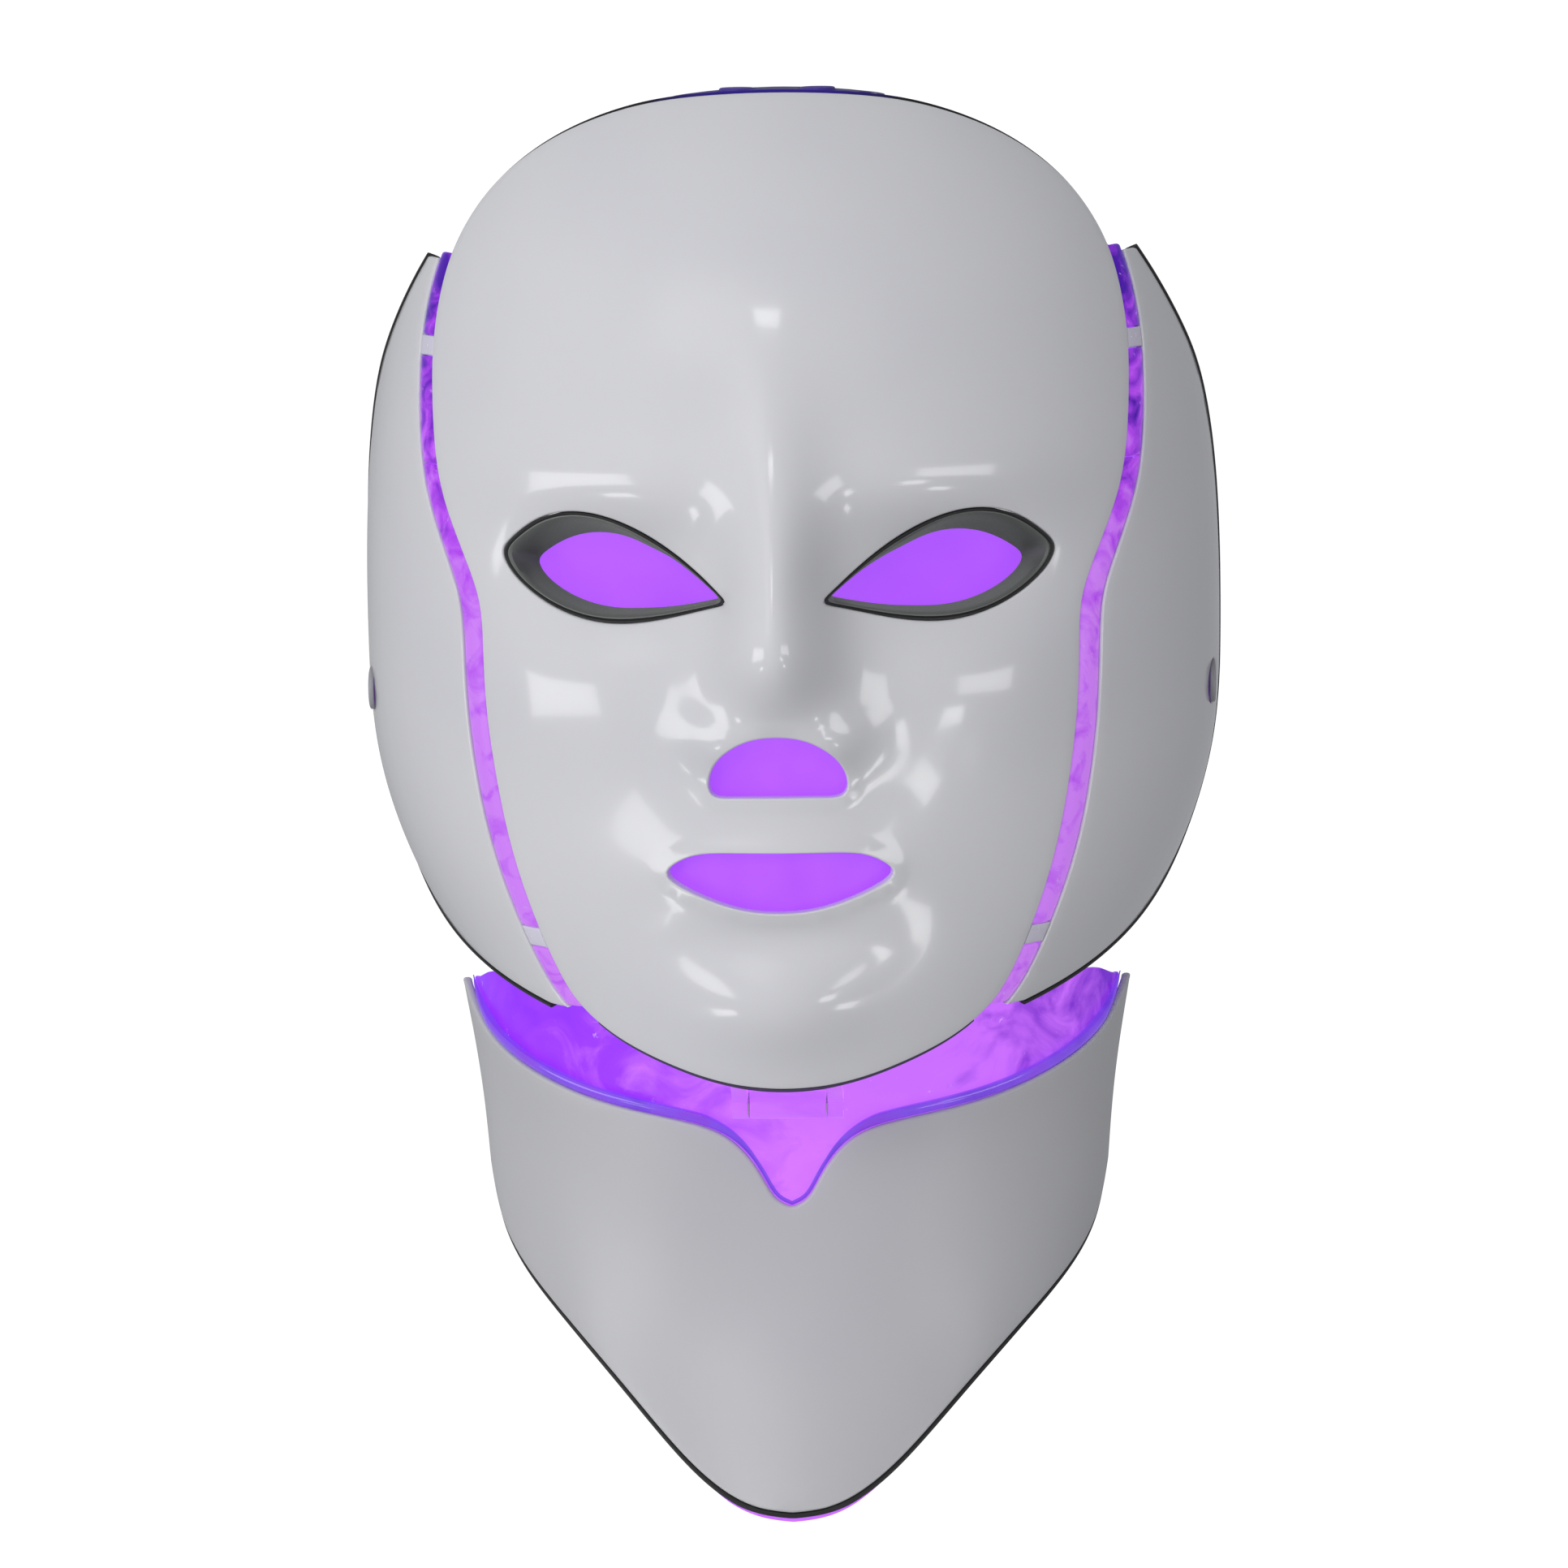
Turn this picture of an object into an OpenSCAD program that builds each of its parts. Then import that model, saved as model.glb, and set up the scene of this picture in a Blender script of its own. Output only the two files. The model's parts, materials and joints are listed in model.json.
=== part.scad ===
// Light-therapy face mask with a hinged neck piece.
// Frame: +Z up, the face looks toward -Y, the wearer's left side is +X.
// z = 0 is the lower edge of the chin, y = 0 the rear edges of the cheek shells.

/* [Face shells] */
// Wall of the glossy outer shells
shell_wall = 2.2; // [1.6:0.1:2.4]
// Depth at which the light guide begins behind the outer skin
liner_front = 3.2; // [3:0.1:3.4]
// Depth at which the light guide ends
liner_back = 4.6; // [4.2:0.1:4.8]
// Depth of the light boards' front faces
board_front = 6; // [5.6:0.1:6.4]
// Thickness of the light boards
board_wall = 0.8; // [0.6:0.1:1]
// Depth at which the clear inner cover begins
cover_front = 9.6; // [9.2:0.1:10]
// Depth at which the clear inner cover ends
cover_back = 10.8; // [10.4:0.1:11.4]
// Width of the lit gap between the centre shell and a cheek shell
gap_w = 6.8; // [5:0.1:8]
// Width of the soft seal along the outer edges
seal_w = 0.9; // [0.4:0.1:1.2]

/* [Lights] */
// Length of one light package
led_l = 3.5; // [2.4:0.1:4]
// Width of one light package
led_w = 2.8; // [2:0.1:3.2]
// Height of one light package
led_h = 1.5; // [0.8:0.1:1.8]

/* [Control case] */
// Width of the case
case_w = 48; // [44:1:52]
// Front face of the case
case_front = -53; // [-54:0.5:-52]
// Depth of the case from front to rear
case_d = 14; // [13:0.5:15]
// Height of the case's floor above the chin edge
case_floor = 194; // [191:1:195]
// Height of the lid's crown above the chin edge
case_top = 219; // [218.4:0.2:220]
// Rise of the lid's arched top from its ends to its middle
lid_arch = 1.8; // [1:0.1:2.2]
// Wall of the case
case_wall = 1.6; // [1.2:0.1:2]
// Radius of a push button
button_r = 4; // [3:0.1:4.4]
// Height of a push button above the lid's crown
button_proud = 0.2; // [0.2:0.1:0.8]
// Travel of a push button
button_travel = 1; // [0.6:0.1:1.2]

/* [Strap eyelets] */
// Radius of the eyelet's hole
eyelet_r = 2.6; // [2:0.1:2.8]
// Height of the eyelets above the chin edge
eyelet_z = 80; // [76:1:84]

/* [Chin hinge] */
// Distance of the hinge axis in front of the rear edges
hinge_y = -70; // [-71:0.5:-69]
// Height of the hinge axis
hinge_z = -8; // [-9:0.5:-7]
// Radius of the hinge knuckles
knuckle_r = 3.2; // [2.8:0.1:3.4]
// Radius of the hinge pin
pin_r = 1.5; // [1.2:0.05:1.6]
// Radial clearance of the pin in the neck knuckle
pin_clearance = 0.05; // [0.03:0.01:0.09]
// Half width of the neck knuckle
neck_knuckle = 8.6; // [7:0.1:8.6]
// Half width of the whole hinge
hinge_half_w = 12.5; // [12:0.5:14]

/* [Neck piece] */
// Wall of the glossy neck shell
neck_wall = 2; // [1.6:0.1:2.2]
// Height of the lit collar's upper edge
collar_top = 11; // [9:0.5:12]
// Width of the soft seal along the neck shell's lower edge
neck_seal_w = 1.4; // [0.8:0.1:1.8]
// Distance by which the light guide reaches below the neck shell
liner_lip = 3; // [2:0.2:3.4]

/* [Hidden] */
$fn = 48;

// ---- smooth curves ---------------------------------------------------------
function soft(a, b, c, d, t) =
    ((1 - t)^3 * a + (3*t^3 - 6*t^2 + 4) * b + (-3*t^3 + 3*t^2 + 3*t + 1) * c + t^3 * d) / 6;

// Smooth curve through a list of values that stand `step` apart from `first` on
function along(v, first, step, at) =
    let (n = len(v),
         q = min(max((at - first) / step, 0), n - 1.001),
         i = floor(q))
    soft(i == 0 ? 2*v[0] - v[1] : v[i - 1], v[i], v[i + 1],
         i + 2 > n - 1 ? 2*v[n - 1] - v[n - 2] : v[i + 2], q - i);

// Closed smooth outline round a ring of control points
function smooth_ring(p, n) = [
    for (k = [0 : n - 1])
        let (q = k * len(p) / n, i = floor(q), m = len(p))
        soft(p[(i + m - 1) % m], p[i % m], p[(i + 1) % m], p[(i + 2) % m], q - i)
];

// Open smooth line along control points, from the first to the last
function smooth_line(p, n) = [
    for (k = [0 : n])
        let (q = min(k * (len(p) - 1) / n, len(p) - 1.0001), i = floor(q), m = len(p))
        soft(i == 0 ? 2*p[0] - p[1] : p[i - 1], p[i], p[i + 1],
             i + 2 > m - 1 ? 2*p[m - 1] - p[m - 2] : p[i + 2], q - i)
];
function mirrored(p) = [for (i = [len(p) - 1 : -1 : 0]) [-p[i][0], p[i][1]]];

// ---- the face's form -------------------------------------------------------
// Half width and depth of the head form, each value 25 mm above the one before
half_widths = [68, 78, 92, 99.5, 100, 99.8, 98, 93.5, 85, 67, 44];
half_width_from = -10;
depths = [88, 93, 94, 95, 96, 97, 99, 96.5, 84, 60, 26];
form_step = 25;
arc_scale = 98; // millimetres of surface per radian round the form
function half_w(z) = along(half_widths, half_width_from, form_step, z);
function depth(z) = along(depths, 0, form_step, z);
function arc_of(x, z) = arc_scale * asin(max(-1, min(1, x / half_w(z)))) * PI / 180;
function turn_of(u) = u / arc_scale * 180 / PI;

// A smooth swelling at (cx, cz) with half widths sx and sz
function swell(x, z, cx, cz, sx, sz) = exp(-((x - cx) / sx)^2 - ((z - cz) / sz)^2);

// Height of the nose ridge, each value 12 mm above the one before
nose_ridge = [0, 0, 2, 10, 20, 17, 12, 7, 3, 1, 0, 0];
nose_from = 51;
nose_step = 12;
function nose_w(z) = 10 + 4.5 * max(0, min(1, (115 - z) / 30));
function relief(x, z) =
    along(nose_ridge, nose_from, nose_step, z) * exp(-(x / nose_w(z))^2)
    + 3.5 * swell(abs(x), z, 13, 80, 8, 7)
    - 6 * swell(abs(x), z, 35, 115, 21, 13)
    + 2 * swell(abs(x), z, 33, 136, 28, 9)
    + 3 * swell(abs(x), z, 46, 90, 22, 20)
    + 4 * swell(x, z, 0, 52, 26, 16)
    - 2 * swell(x, z, 0, 34, 18, 6)
    + 5 * swell(x, z, 0, 20, 18, 13);

function unit(v) = v / norm(v);
function form(u, z) = let (a = turn_of(u)) [half_w(z) * sin(a), -depth(z) * cos(a), z];
function form_normal(u, z) =
    let (a = turn_of(u), w = half_w(z), d = depth(z),
         dw = half_w(z + 0.5) - half_w(z - 0.5),
         dd = depth(z + 0.5) - depth(z - 0.5))
    unit([d * sin(a), -w * cos(a), -(w * dd * cos(a)^2 + d * dw * sin(a)^2)]);

// Inner layers carry less of the relief, so that they nest without touching
relief_fade = 30;
function face_at(u, z, d) =
    let (p = form(u, z))
    p + form_normal(u, z) * (relief(p[0], z) * (1 - d / relief_fade) - d);

// ---- the neck's form -------------------------------------------------------
neck_half_widths = [60, 66.5, 69.5, 72.5, 74, 75, 77, 79.8, 82];
neck_depths = [72, 64, 57, 53, 52, 53, 56, 60, 64];
neck_from = -100;
neck_step = 16;
neck_back = -8; // centre of the neck's round form
neck_arc = 76; // millimetres of surface per radian round the neck
function neck_at(u, z, d) =
    let (a = u / neck_arc * 180 / PI)
    [(along(neck_half_widths, neck_from, neck_step, z) - d) * sin(a),
     neck_back - (along(neck_depths, neck_from, neck_step, z) - d) * cos(a),
     z];
function surface_at(s, u, z, d) = s == "neck" ? neck_at(u, z, d) : face_at(u, z, d);

// ---- outlines --------------------------------------------------------------
// Centre shell from the chin up its left side to the top, as [x, z]
centre_half = [
    [13.4, 0.6], [25, 4], [38, 9], [47, 16], [51, 23], [55, 32], [59.6, 45], [62.7, 58],
    [64.4, 71], [65.2, 82], [65.6, 95], [66.4, 106], [69, 113], [73.2, 123], [76.2, 132],
    [77.7, 143], [78.1, 153], [78.1, 164], [76.2, 176], [73, 186], [66, 197], [57, 205],
    [47, 211], [35, 215.6], [22, 218.4]
];
centre_xz = smooth_ring(
    concat([[0, -0.6]], centre_half, [[0, 219.6]], mirrored(centre_half)), 140);
centre_outline = [for (p = centre_xz) [arc_of(p[0], p[1]), p[1]]];

// Rear edge of the left cheek shell from the top down, as [degrees round, z]
rear_edge = [
    [66.5, 182], [73.5, 167], [80, 156], [84, 146], [88, 126], [90, 106], [90, 80],
    [90, 61], [88.5, 49], [86.5, 41], [80.5, 33], [71.6, 26.5], [62, 21.7], [53, 18],
    [43, 14.8]
];
rear_arc = [for (p = rear_edge) [p[0] * arc_scale * PI / 180, p[1]]];
rear_line = smooth_line(rear_arc, 60);
cheek_top_z = 182;
cheek_bottom_z = 14.8;

// Whole face, centre and both cheeks together
full_half = concat(
    [for (p = [[13.4, 0.6], [25, 4], [38, 9]]) [arc_of(p[0], p[1]), p[1]]],
    [[57, 12.5]],
    [for (i = [len(rear_arc) - 1 : -1 : 0]) rear_arc[i]],
    [for (p = [[71.6, 188], [66, 197.5], [57, 205.5], [47, 211], [35, 215.6], [22, 218.4]])
        [arc_of(p[0], p[1]), p[1]]]
);
full_outline = smooth_ring(
    concat([[0, -0.6]], full_half, [[0, 219.6]], mirrored(full_half)), 160);

// Left eye, as [x, z]
eye_xz = smooth_ring([
    [9, 111.2], [13, 113], [22, 119.8], [33, 127.2], [43, 130.2], [53, 128.2],
    [60.5, 122], [62.5, 119], [59.5, 113.6], [52, 108], [42, 104.6], [32, 104.4],
    [21, 106.8], [12.5, 109.6]
], 40);
eye_middle = [35, 116];
nose_xz = smooth_ring([
    [0, 67.4], [9, 67.4], [14.6, 66.9], [15.4, 71], [12.4, 77], [6, 81.4], [0, 81.9],
    [-6, 81.4], [-12.4, 77], [-15.4, 71], [-14.6, 66.9], [-9, 67.4]
], 48);
mouth_xz = smooth_ring([
    [0, 55.2], [12, 55.2], [19, 54.6], [25.2, 50.6], [24, 48], [16, 44.4], [8, 41.8],
    [0, 41.2], [-8, 41.8], [-16, 44.4], [-24, 48], [-25.2, 50.6], [-19, 54.6], [-12, 55.2]
], 48);
nose_slot = [8, 60.5, 65]; // half width, lower and upper height
mouth_slot = [15, 35, 39];
breathing_window = [[-20, 34], [20, 34], [20, 56], [12, 82], [-12, 82], [-20, 56]];

// Neck shell edges as [arc, z] lists
neck_top = [
    [0, -34.5], [4, -33], [6.5, -28], [9.5, -23], [14, -18.3], [20, -15.4], [30.6, -13.6],
    [47.8, -11.4], [65.6, -7.4], [82.8, -2.6], [93.5, 2], [101, 7], [107, 11]
];
neck_bottom = [
    [0, -101], [9, -100.4], [18, -98.2], [28, -93], [37, -86], [49, -76], [67, -64],
    [84.6, -55], [96, -48.5], [102, -43], [107, -34]
];
neck_edge = 107;

// ---- shells from the forms -------------------------------------------------
// Spokes fan out from one centre on the nose, on the same rings in every layer
hub = [0, 95];
spokes = 56;
core_rings = [6, 12, 19, 27, 37, 48];
outer_ring_w = 13;
function reach(outline, angle) =
    let (d = [cos(angle), sin(angle)], n = len(outline))
    max([
        for (i = [0 : n - 1])
            let (a = outline[i] - hub, e = outline[(i + 1) % n] - outline[i],
                 den = cross(d, e), t = cross(a, e) / den, s = cross(a, d) / den)
            if (t > 0 && s >= 0 && s <= 1) t
    ]);
function spoke_angle(k) = 360 * (k + 0.5) / spokes;
function edge_point(outline, inset, k) =
    hub + (reach(outline, spoke_angle(k)) - inset) * [cos(spoke_angle(k)), sin(spoke_angle(k))];

// Closed sheet inside an outline, from depth `front` to depth `back`
module sheet(outline, inset, front, back) {
    reaches = [for (k = [0 : spokes - 1]) reach(outline, spoke_angle(k)) - inset];
    outer_rings = ceil((max(reaches) - max(core_rings)) / outer_ring_w);
    rings = len(core_rings) + outer_rings;
    core_r = max(core_rings);
    function radius(j, k) =
        j <= len(core_rings) ? core_rings[j - 1]
        : core_r + (reaches[k] - core_r) * (j - len(core_rings)) / outer_rings;
    function spot(j, k) = hub + radius(j, k) * [cos(spoke_angle(k)), sin(spoke_angle(k))];
    side = 1 + rings * spokes;
    function id(s, j, k) = s * side + (j == 0 ? 0 : 1 + (j - 1) * spokes + k % spokes);
    points = [
        for (d = [front, back]) each concat(
            [face_at(hub[0], hub[1], d)],
            [for (j = [1 : rings], k = [0 : spokes - 1])
                let (p = spot(j, k)) face_at(p[0], p[1], d)])
    ];
    fans = [
        for (k = [0 : spokes - 1]) each [
            [id(0, 0, 0), id(0, 1, k + 1), id(0, 1, k)],
            [id(1, 0, 0), id(1, 1, k), id(1, 1, k + 1)],
            [id(0, rings, k), id(0, rings, k + 1), id(1, rings, k + 1)],
            [id(0, rings, k), id(1, rings, k + 1), id(1, rings, k)]
        ]
    ];
    bands = [
        for (j = [1 : rings - 1], k = [0 : spokes - 1]) each [
            [id(0, j, k), id(0, j, k + 1), id(0, j + 1, k + 1)],
            [id(0, j, k), id(0, j + 1, k + 1), id(0, j + 1, k)],
            [id(1, j, k), id(1, j + 1, k + 1), id(1, j, k + 1)],
            [id(1, j, k), id(1, j + 1, k), id(1, j + 1, k + 1)]
        ]
    ];
    polyhedron(points, concat(fans, bands), convexity = 10);
}

// Closed plate over a grid of [arc, z] points: arc grows along a row, z from row to row
module plate(s, grid, front, back) {
    rows = len(grid);
    cols = len(grid[0]);
    function id(side, r, c) = side * rows * cols + r * cols + c;
    points = [
        for (d = [front, back], row = grid, p = row) surface_at(s, p[0], p[1], d)
    ];
    faces = [
        for (r = [0 : rows - 2], c = [0 : cols - 2]) each [
            [id(0, r, c), id(0, r + 1, c), id(0, r + 1, c + 1)],
            [id(0, r, c), id(0, r + 1, c + 1), id(0, r, c + 1)],
            [id(1, r, c), id(1, r + 1, c + 1), id(1, r + 1, c)],
            [id(1, r, c), id(1, r, c + 1), id(1, r + 1, c + 1)]
        ]
    ];
    low_high = [
        for (c = [0 : cols - 2]) each [
            [id(0, 0, c), id(0, 0, c + 1), id(1, 0, c + 1)],
            [id(0, 0, c), id(1, 0, c + 1), id(1, 0, c)],
            [id(0, rows - 1, c), id(1, rows - 1, c + 1), id(0, rows - 1, c + 1)],
            [id(0, rows - 1, c), id(1, rows - 1, c), id(1, rows - 1, c + 1)]
        ]
    ];
    sides = [
        for (r = [0 : rows - 2]) each [
            [id(0, r, 0), id(1, r, 0), id(1, r + 1, 0)],
            [id(0, r, 0), id(1, r + 1, 0), id(0, r + 1, 0)],
            [id(0, r, cols - 1), id(1, r + 1, cols - 1), id(1, r, cols - 1)],
            [id(0, r, cols - 1), id(0, r + 1, cols - 1), id(1, r + 1, cols - 1)]
        ]
    ];
    polyhedron(points, concat(faces, low_high, sides), convexity = 10);
}

// A rectangular patch of the surface
function patch(u0, u1, z0, z1, cols, rows) = [
    for (r = [0 : rows])
        [for (c = [0 : cols]) [u0 + (u1 - u0) * c / cols, z0 + (z1 - z0) * r / rows]]
];

// The point where a smooth line crosses a height, looked up between its points
function height_table(line) = [for (p = line) [p[1], p[0]]];
centre_side = height_table([
    for (p = centre_outline) if (p[0] > 0 && p[1] > 8 && p[1] < 200) p
]);
function strip_in(z) = lookup(z, centre_side) + 0.2;
function strip_out(z) = lookup(z, centre_side) + gap_w - 0.2;
function cheek_in(z) = lookup(z, centre_side) + gap_w;
cheek_rear = height_table([for (i = [len(rear_line) - 1 : -1 : 0]) rear_line[i]]);
tip_w = 1.6; // width of a cheek shell at its pointed ends
function cheek_out(z) = max(lookup(z, cheek_rear), cheek_in(z) + tip_w);
cheek_heights = [
    cheek_bottom_z, 17, 20, 24, 29, 34, 40, 48, 57, 67, 78, 90, 102, 112, 121, 130, 139,
    148, 156, 163, 170, 177, cheek_top_z
];
cheek_cols = 6;
function cheek_grid() = [
    for (z = cheek_heights)
        [for (c = [0 : cheek_cols])
            [cheek_in(z) + (cheek_out(z) - cheek_in(z)) * c / cheek_cols, z]]
];

// Leaves the children's cut shape as one closed mesh at its own size
module one_mesh() {
    resize([0, 0, 0]) children();
}

// Solid with the given [x, z] outline that stands square to the face between two depths
function unrolled(outline) = [for (p = outline) [arc_of(p[0], p[1]), p[1]]];
module face_plug(outline, centre, front, back) {
    ring = unrolled(outline);
    n = len(ring);
    mid = unrolled([centre])[0];
    points = [
        for (d = [front, back]) each concat(
            [face_at(mid[0], mid[1], d)], [for (p = ring) face_at(p[0], p[1], d)])
    ];
    o = n + 1;
    faces = [
        for (i = [0 : n - 1])
            let (a = 1 + i, b = 1 + (i + 1) % n)
            each [[0, a, b], [o, o + b, o + a], [a, o + a, o + b], [a, o + b, b]]
    ];
    polyhedron(points, faces, convexity = 4);
}
// Tool that runs through the middle of the face along Y with the given [x, z] outline
module through_face(outline) {
    translate([0, -40, 0]) rotate([90, 0, 0]) linear_extrude(90) polygon(outline);
}
module through_window(w) {
    through_face([[-w[0], w[1]], [w[0], w[1]], [w[0], w[2]], [-w[0], w[2]]]);
}
module both_sides() {
    children();
    mirror([1, 0, 0]) children();
}

// Puts children on the surface with +Z along the outward normal
module on_face(u, z, d) {
    n = form_normal(u, z);
    translate(face_at(u, z, d)) rotate([0, acos(n[2]), atan2(n[1], n[0])]) children();
}
function neck_normal(u, z) =
    unit(cross(neck_at(u + 1, z, 0) - neck_at(u - 1, z, 0),
        neck_at(u, z + 1, 0) - neck_at(u, z - 1, 0)));
module on_neck(u, z, d) {
    n = neck_normal(u, z);
    translate(neck_at(u, z, d)) rotate([0, acos(n[2]), atan2(n[1], n[0])]) children();
}

// ---- outer shells ----------------------------------------------------------
module face_shell() {
    color("whitesmoke") one_mesh() difference() {
        sheet(centre_outline, 0, 0, shell_wall);
        both_sides() eye_window(0);
        through_face(nose_xz);
        through_face(mouth_xz);
    }
}

eyelet_turn = 79;
eyelet_u = eyelet_turn * arc_scale * PI / 180;
eyelet_at = face_at(eyelet_u, eyelet_z, 0);
eyelet_flange_r = 5;
eyelet_tube_r = 3.6;
eyelet_flange = 1.4;
eyelet_in = 85;
eyelet_out = eyelet_at[0] + 0.4;
module eyelet_hole(r) {
    translate([eyelet_in - 3, eyelet_at[1], eyelet_z]) rotate([0, 90, 0]) cylinder(r = r, h = 24);
}

module cheek_shell() {
    one_mesh() difference() {
        plate("face", cheek_grid(), 0, shell_wall);
        eyelet_hole(eyelet_flange_r + 0.3);
    }
}
module left_cheek_shell() {
    color("whitesmoke") cheek_shell();
}
module right_cheek_shell() {
    color("whitesmoke") mirror([1, 0, 0]) cheek_shell();
}

// Light guide behind all three shells, closed behind the nose and mouth openings
eye_grown = 1.2; // how far the inner layers' eye holes clear the eye cups
module eye_window(grow) {
    face_plug([for (p = eye_xz) p + grow * unit(p - eye_middle)], eye_middle, -4, 13);
}
module face_liner() {
    color("mediumorchid", 0.7) one_mesh() difference() {
        sheet(full_outline, 0.4, liner_front, liner_back);
        both_sides() eye_window(eye_grown);
        both_sides() eyelet_hole(eyelet_tube_r + 0.3);
        through_window(nose_slot);
        through_window(mouth_slot);
    }
}

// ---- edge seals ------------------------------------------------------------
seal_front = 0.5;
seal_back = 3;
seal_gap = 0.05;
function rim(k, out) = edge_point(centre_outline, -out, k);
function spokes_above(z) = [
    for (k = [spokes - 1 : -1 : 0]) if (rim(k, 0)[1] > z) k
];
function spokes_below(z) = [
    for (k = [0 : spokes - 1]) if (rim(k, 0)[1] < z) k
];
seal_top_from = 186;
seal_chin_to = 13;
module face_shell_seal() {
    top = spokes_above(seal_top_from);
    chin = spokes_below(seal_chin_to);
    color("black") {
        plate("face", [
            [for (k = top) rim(k, seal_gap)],
            [for (k = top) rim(k, seal_gap + seal_w)]
        ], seal_front, seal_back);
        plate("face", [
            [for (k = chin) rim(k, seal_gap + seal_w)],
            [for (k = chin) rim(k, seal_gap)]
        ], seal_front, seal_back);
    }
}
function edge_out(line, i) =
    let (a = line[max(i - 1, 0)], b = line[min(i + 1, len(line) - 1)], t = unit(b - a))
    [t[1], -t[0]];
cheek_seal_front = -0.35; // stands proud of the shell as a fine dark border
module cheek_seal() {
    edge = [for (z = cheek_heights) [cheek_out(z), z]];
    last = len(edge) - 1;
    plate("face", [
        for (i = [0 : last]) [
            edge[i] + seal_gap * edge_out(edge, i),
            edge[i] + (seal_gap + seal_w) * edge_out(edge, i)
        ]
    ], cheek_seal_front, seal_back);
}
module left_cheek_seal() {
    color("black") cheek_seal();
}
module right_cheek_seal() {
    color("black") mirror([1, 0, 0]) cheek_seal();
}

// ---- lit strips and clear clips in the gaps --------------------------------
strip_front = 0.6;
strip_back = 3;
clip_h = 4.4;
clip_heights = [31, 163];
strip_top = 183.5;
strip_bottom = 15.5;
clip_gap = 0.2;
function strip_grid(z0, z1) =
    let (n = max(1, ceil((z1 - z0) / 9)))
    [for (i = [0 : n]) let (z = z0 + (z1 - z0) * i / n) [[strip_in(z), z], [strip_out(z), z]]];
module light_strip() {
    edge = clip_h / 2 + clip_gap;
    plate("face", strip_grid(strip_bottom, clip_heights[0] - edge), strip_front, strip_back);
    plate("face", strip_grid(clip_heights[0] + edge, clip_heights[1] - edge),
        strip_front, strip_back);
    plate("face", strip_grid(clip_heights[1] + edge, strip_top), strip_front, strip_back);
}
module left_light_strip() {
    color("blueviolet", 0.8) light_strip();
}
module right_light_strip() {
    color("blueviolet", 0.8) mirror([1, 0, 0]) light_strip();
}
module bridge_clips() {
    for (z = clip_heights)
        plate("face", strip_grid(z - clip_h / 2, z + clip_h / 2), strip_front - 0.4, strip_back);
}
module left_bridge_clips() {
    color("lightcyan", 0.5) bridge_clips();
}
module right_bridge_clips() {
    color("lightcyan", 0.5) mirror([1, 0, 0]) bridge_clips();
}

// ---- eye cups and tinted lenses --------------------------------------------
cup_front = 0.3;
cup_back = 12.4;
cup_wall = 1.3;
cup_gap = 0.35;
lens_front = 10.8;
lens_back = 12;
// The rear opening is smaller than the front one and lies nearer the nose
function rear_eye(p) = [
    12.7 + (p[0] - 11.5) * 0.98,
    105.5 + (p[1] - 105.2) * 0.74
];
function toward(p, c, d) = p + d * unit(c - p);
rear_middle = [35, 114];
module eye_cup() {
    n = len(eye_xz);
    section = [
        for (p = eye_xz)
            let (s = unrolled([
                toward(p, eye_middle, cup_gap), rear_eye(p),
                toward(rear_eye(p), rear_middle, cup_wall),
                toward(p, eye_middle, cup_gap + cup_wall)]))
            [face_at(s[0][0], s[0][1], cup_front), face_at(s[1][0], s[1][1], cup_back),
             face_at(s[2][0], s[2][1], cup_back), face_at(s[3][0], s[3][1], cup_front)]
    ];
    faces = [
        for (i = [0 : n - 1], j = [0 : 3]) each
            let (a = 4*i + j, b = 4*i + (j + 1) % 4,
                 c = 4*((i + 1) % n) + (j + 1) % 4, e = 4*((i + 1) % n) + j)
            [[a, b, c], [a, c, e]]
    ];
    polyhedron([for (s = section) each s], faces, convexity = 8);
}
module eye_lens() {
    face_plug([for (p = eye_xz) toward(rear_eye(p), rear_middle, cup_wall + 0.25)],
        rear_middle, lens_front, lens_back);
}
module left_eye_cup() {
    color("dimgray") eye_cup();
}
module right_eye_cup() {
    color("dimgray") mirror([1, 0, 0]) eye_cup();
}
module left_eye_lens() {
    color("orchid", 0.6) eye_lens();
}
module right_eye_lens() {
    color("orchid", 0.6) mirror([1, 0, 0]) eye_lens();
}

// ---- light boards ----------------------------------------------------------
board_back = board_front + board_wall;
led_clear = 0.7; // height of the solder pads under each light
forehead_area = [-66, 66, 150, 196]; // arc from, arc to, z from, z to
cheek_area = [36, 112, 58, 96];
chin_area = [-48, 48, 13, 31];
module board(a, cols, rows) {
    plate("face", patch(a[0], a[1], a[2], a[3], cols, rows), board_front, board_back);
}
module forehead_board() {
    color("seagreen") board(forehead_area, 12, 5);
}
module left_cheek_board() {
    color("seagreen") board(cheek_area, 8, 4);
}
module right_cheek_board() {
    color("seagreen") mirror([1, 0, 0]) board(cheek_area, 8, 4);
}
module chin_board() {
    color("seagreen") board(chin_area, 14, 6);
}

// Lights in rows on a board's rear face, shining at the wearer
led_margin = 6;
module led_rows(a, cols, rows) {
    for (c = [0 : cols - 1], r = [0 : rows - 1])
        on_face(a[0] + led_margin + (a[1] - a[0] - 2*led_margin) * c / (cols - 1),
            a[2] + led_margin + (a[3] - a[2] - 2*led_margin) * r / (rows - 1),
            board_back + led_clear)
            translate([-led_w / 2, -led_l / 2, -led_h]) cube([led_w, led_l, led_h]);
}
module forehead_leds() {
    color("violet") led_rows(forehead_area, 9, 3);
}
module left_cheek_leds() {
    color("violet") led_rows(cheek_area, 6, 3);
}
module right_cheek_leds() {
    color("violet") mirror([1, 0, 0]) led_rows(cheek_area, 6, 3);
}
module chin_leds() {
    color("violet") led_rows([chin_area[0], chin_area[1], 11.5, 32.5], 5, 2);
}

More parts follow.
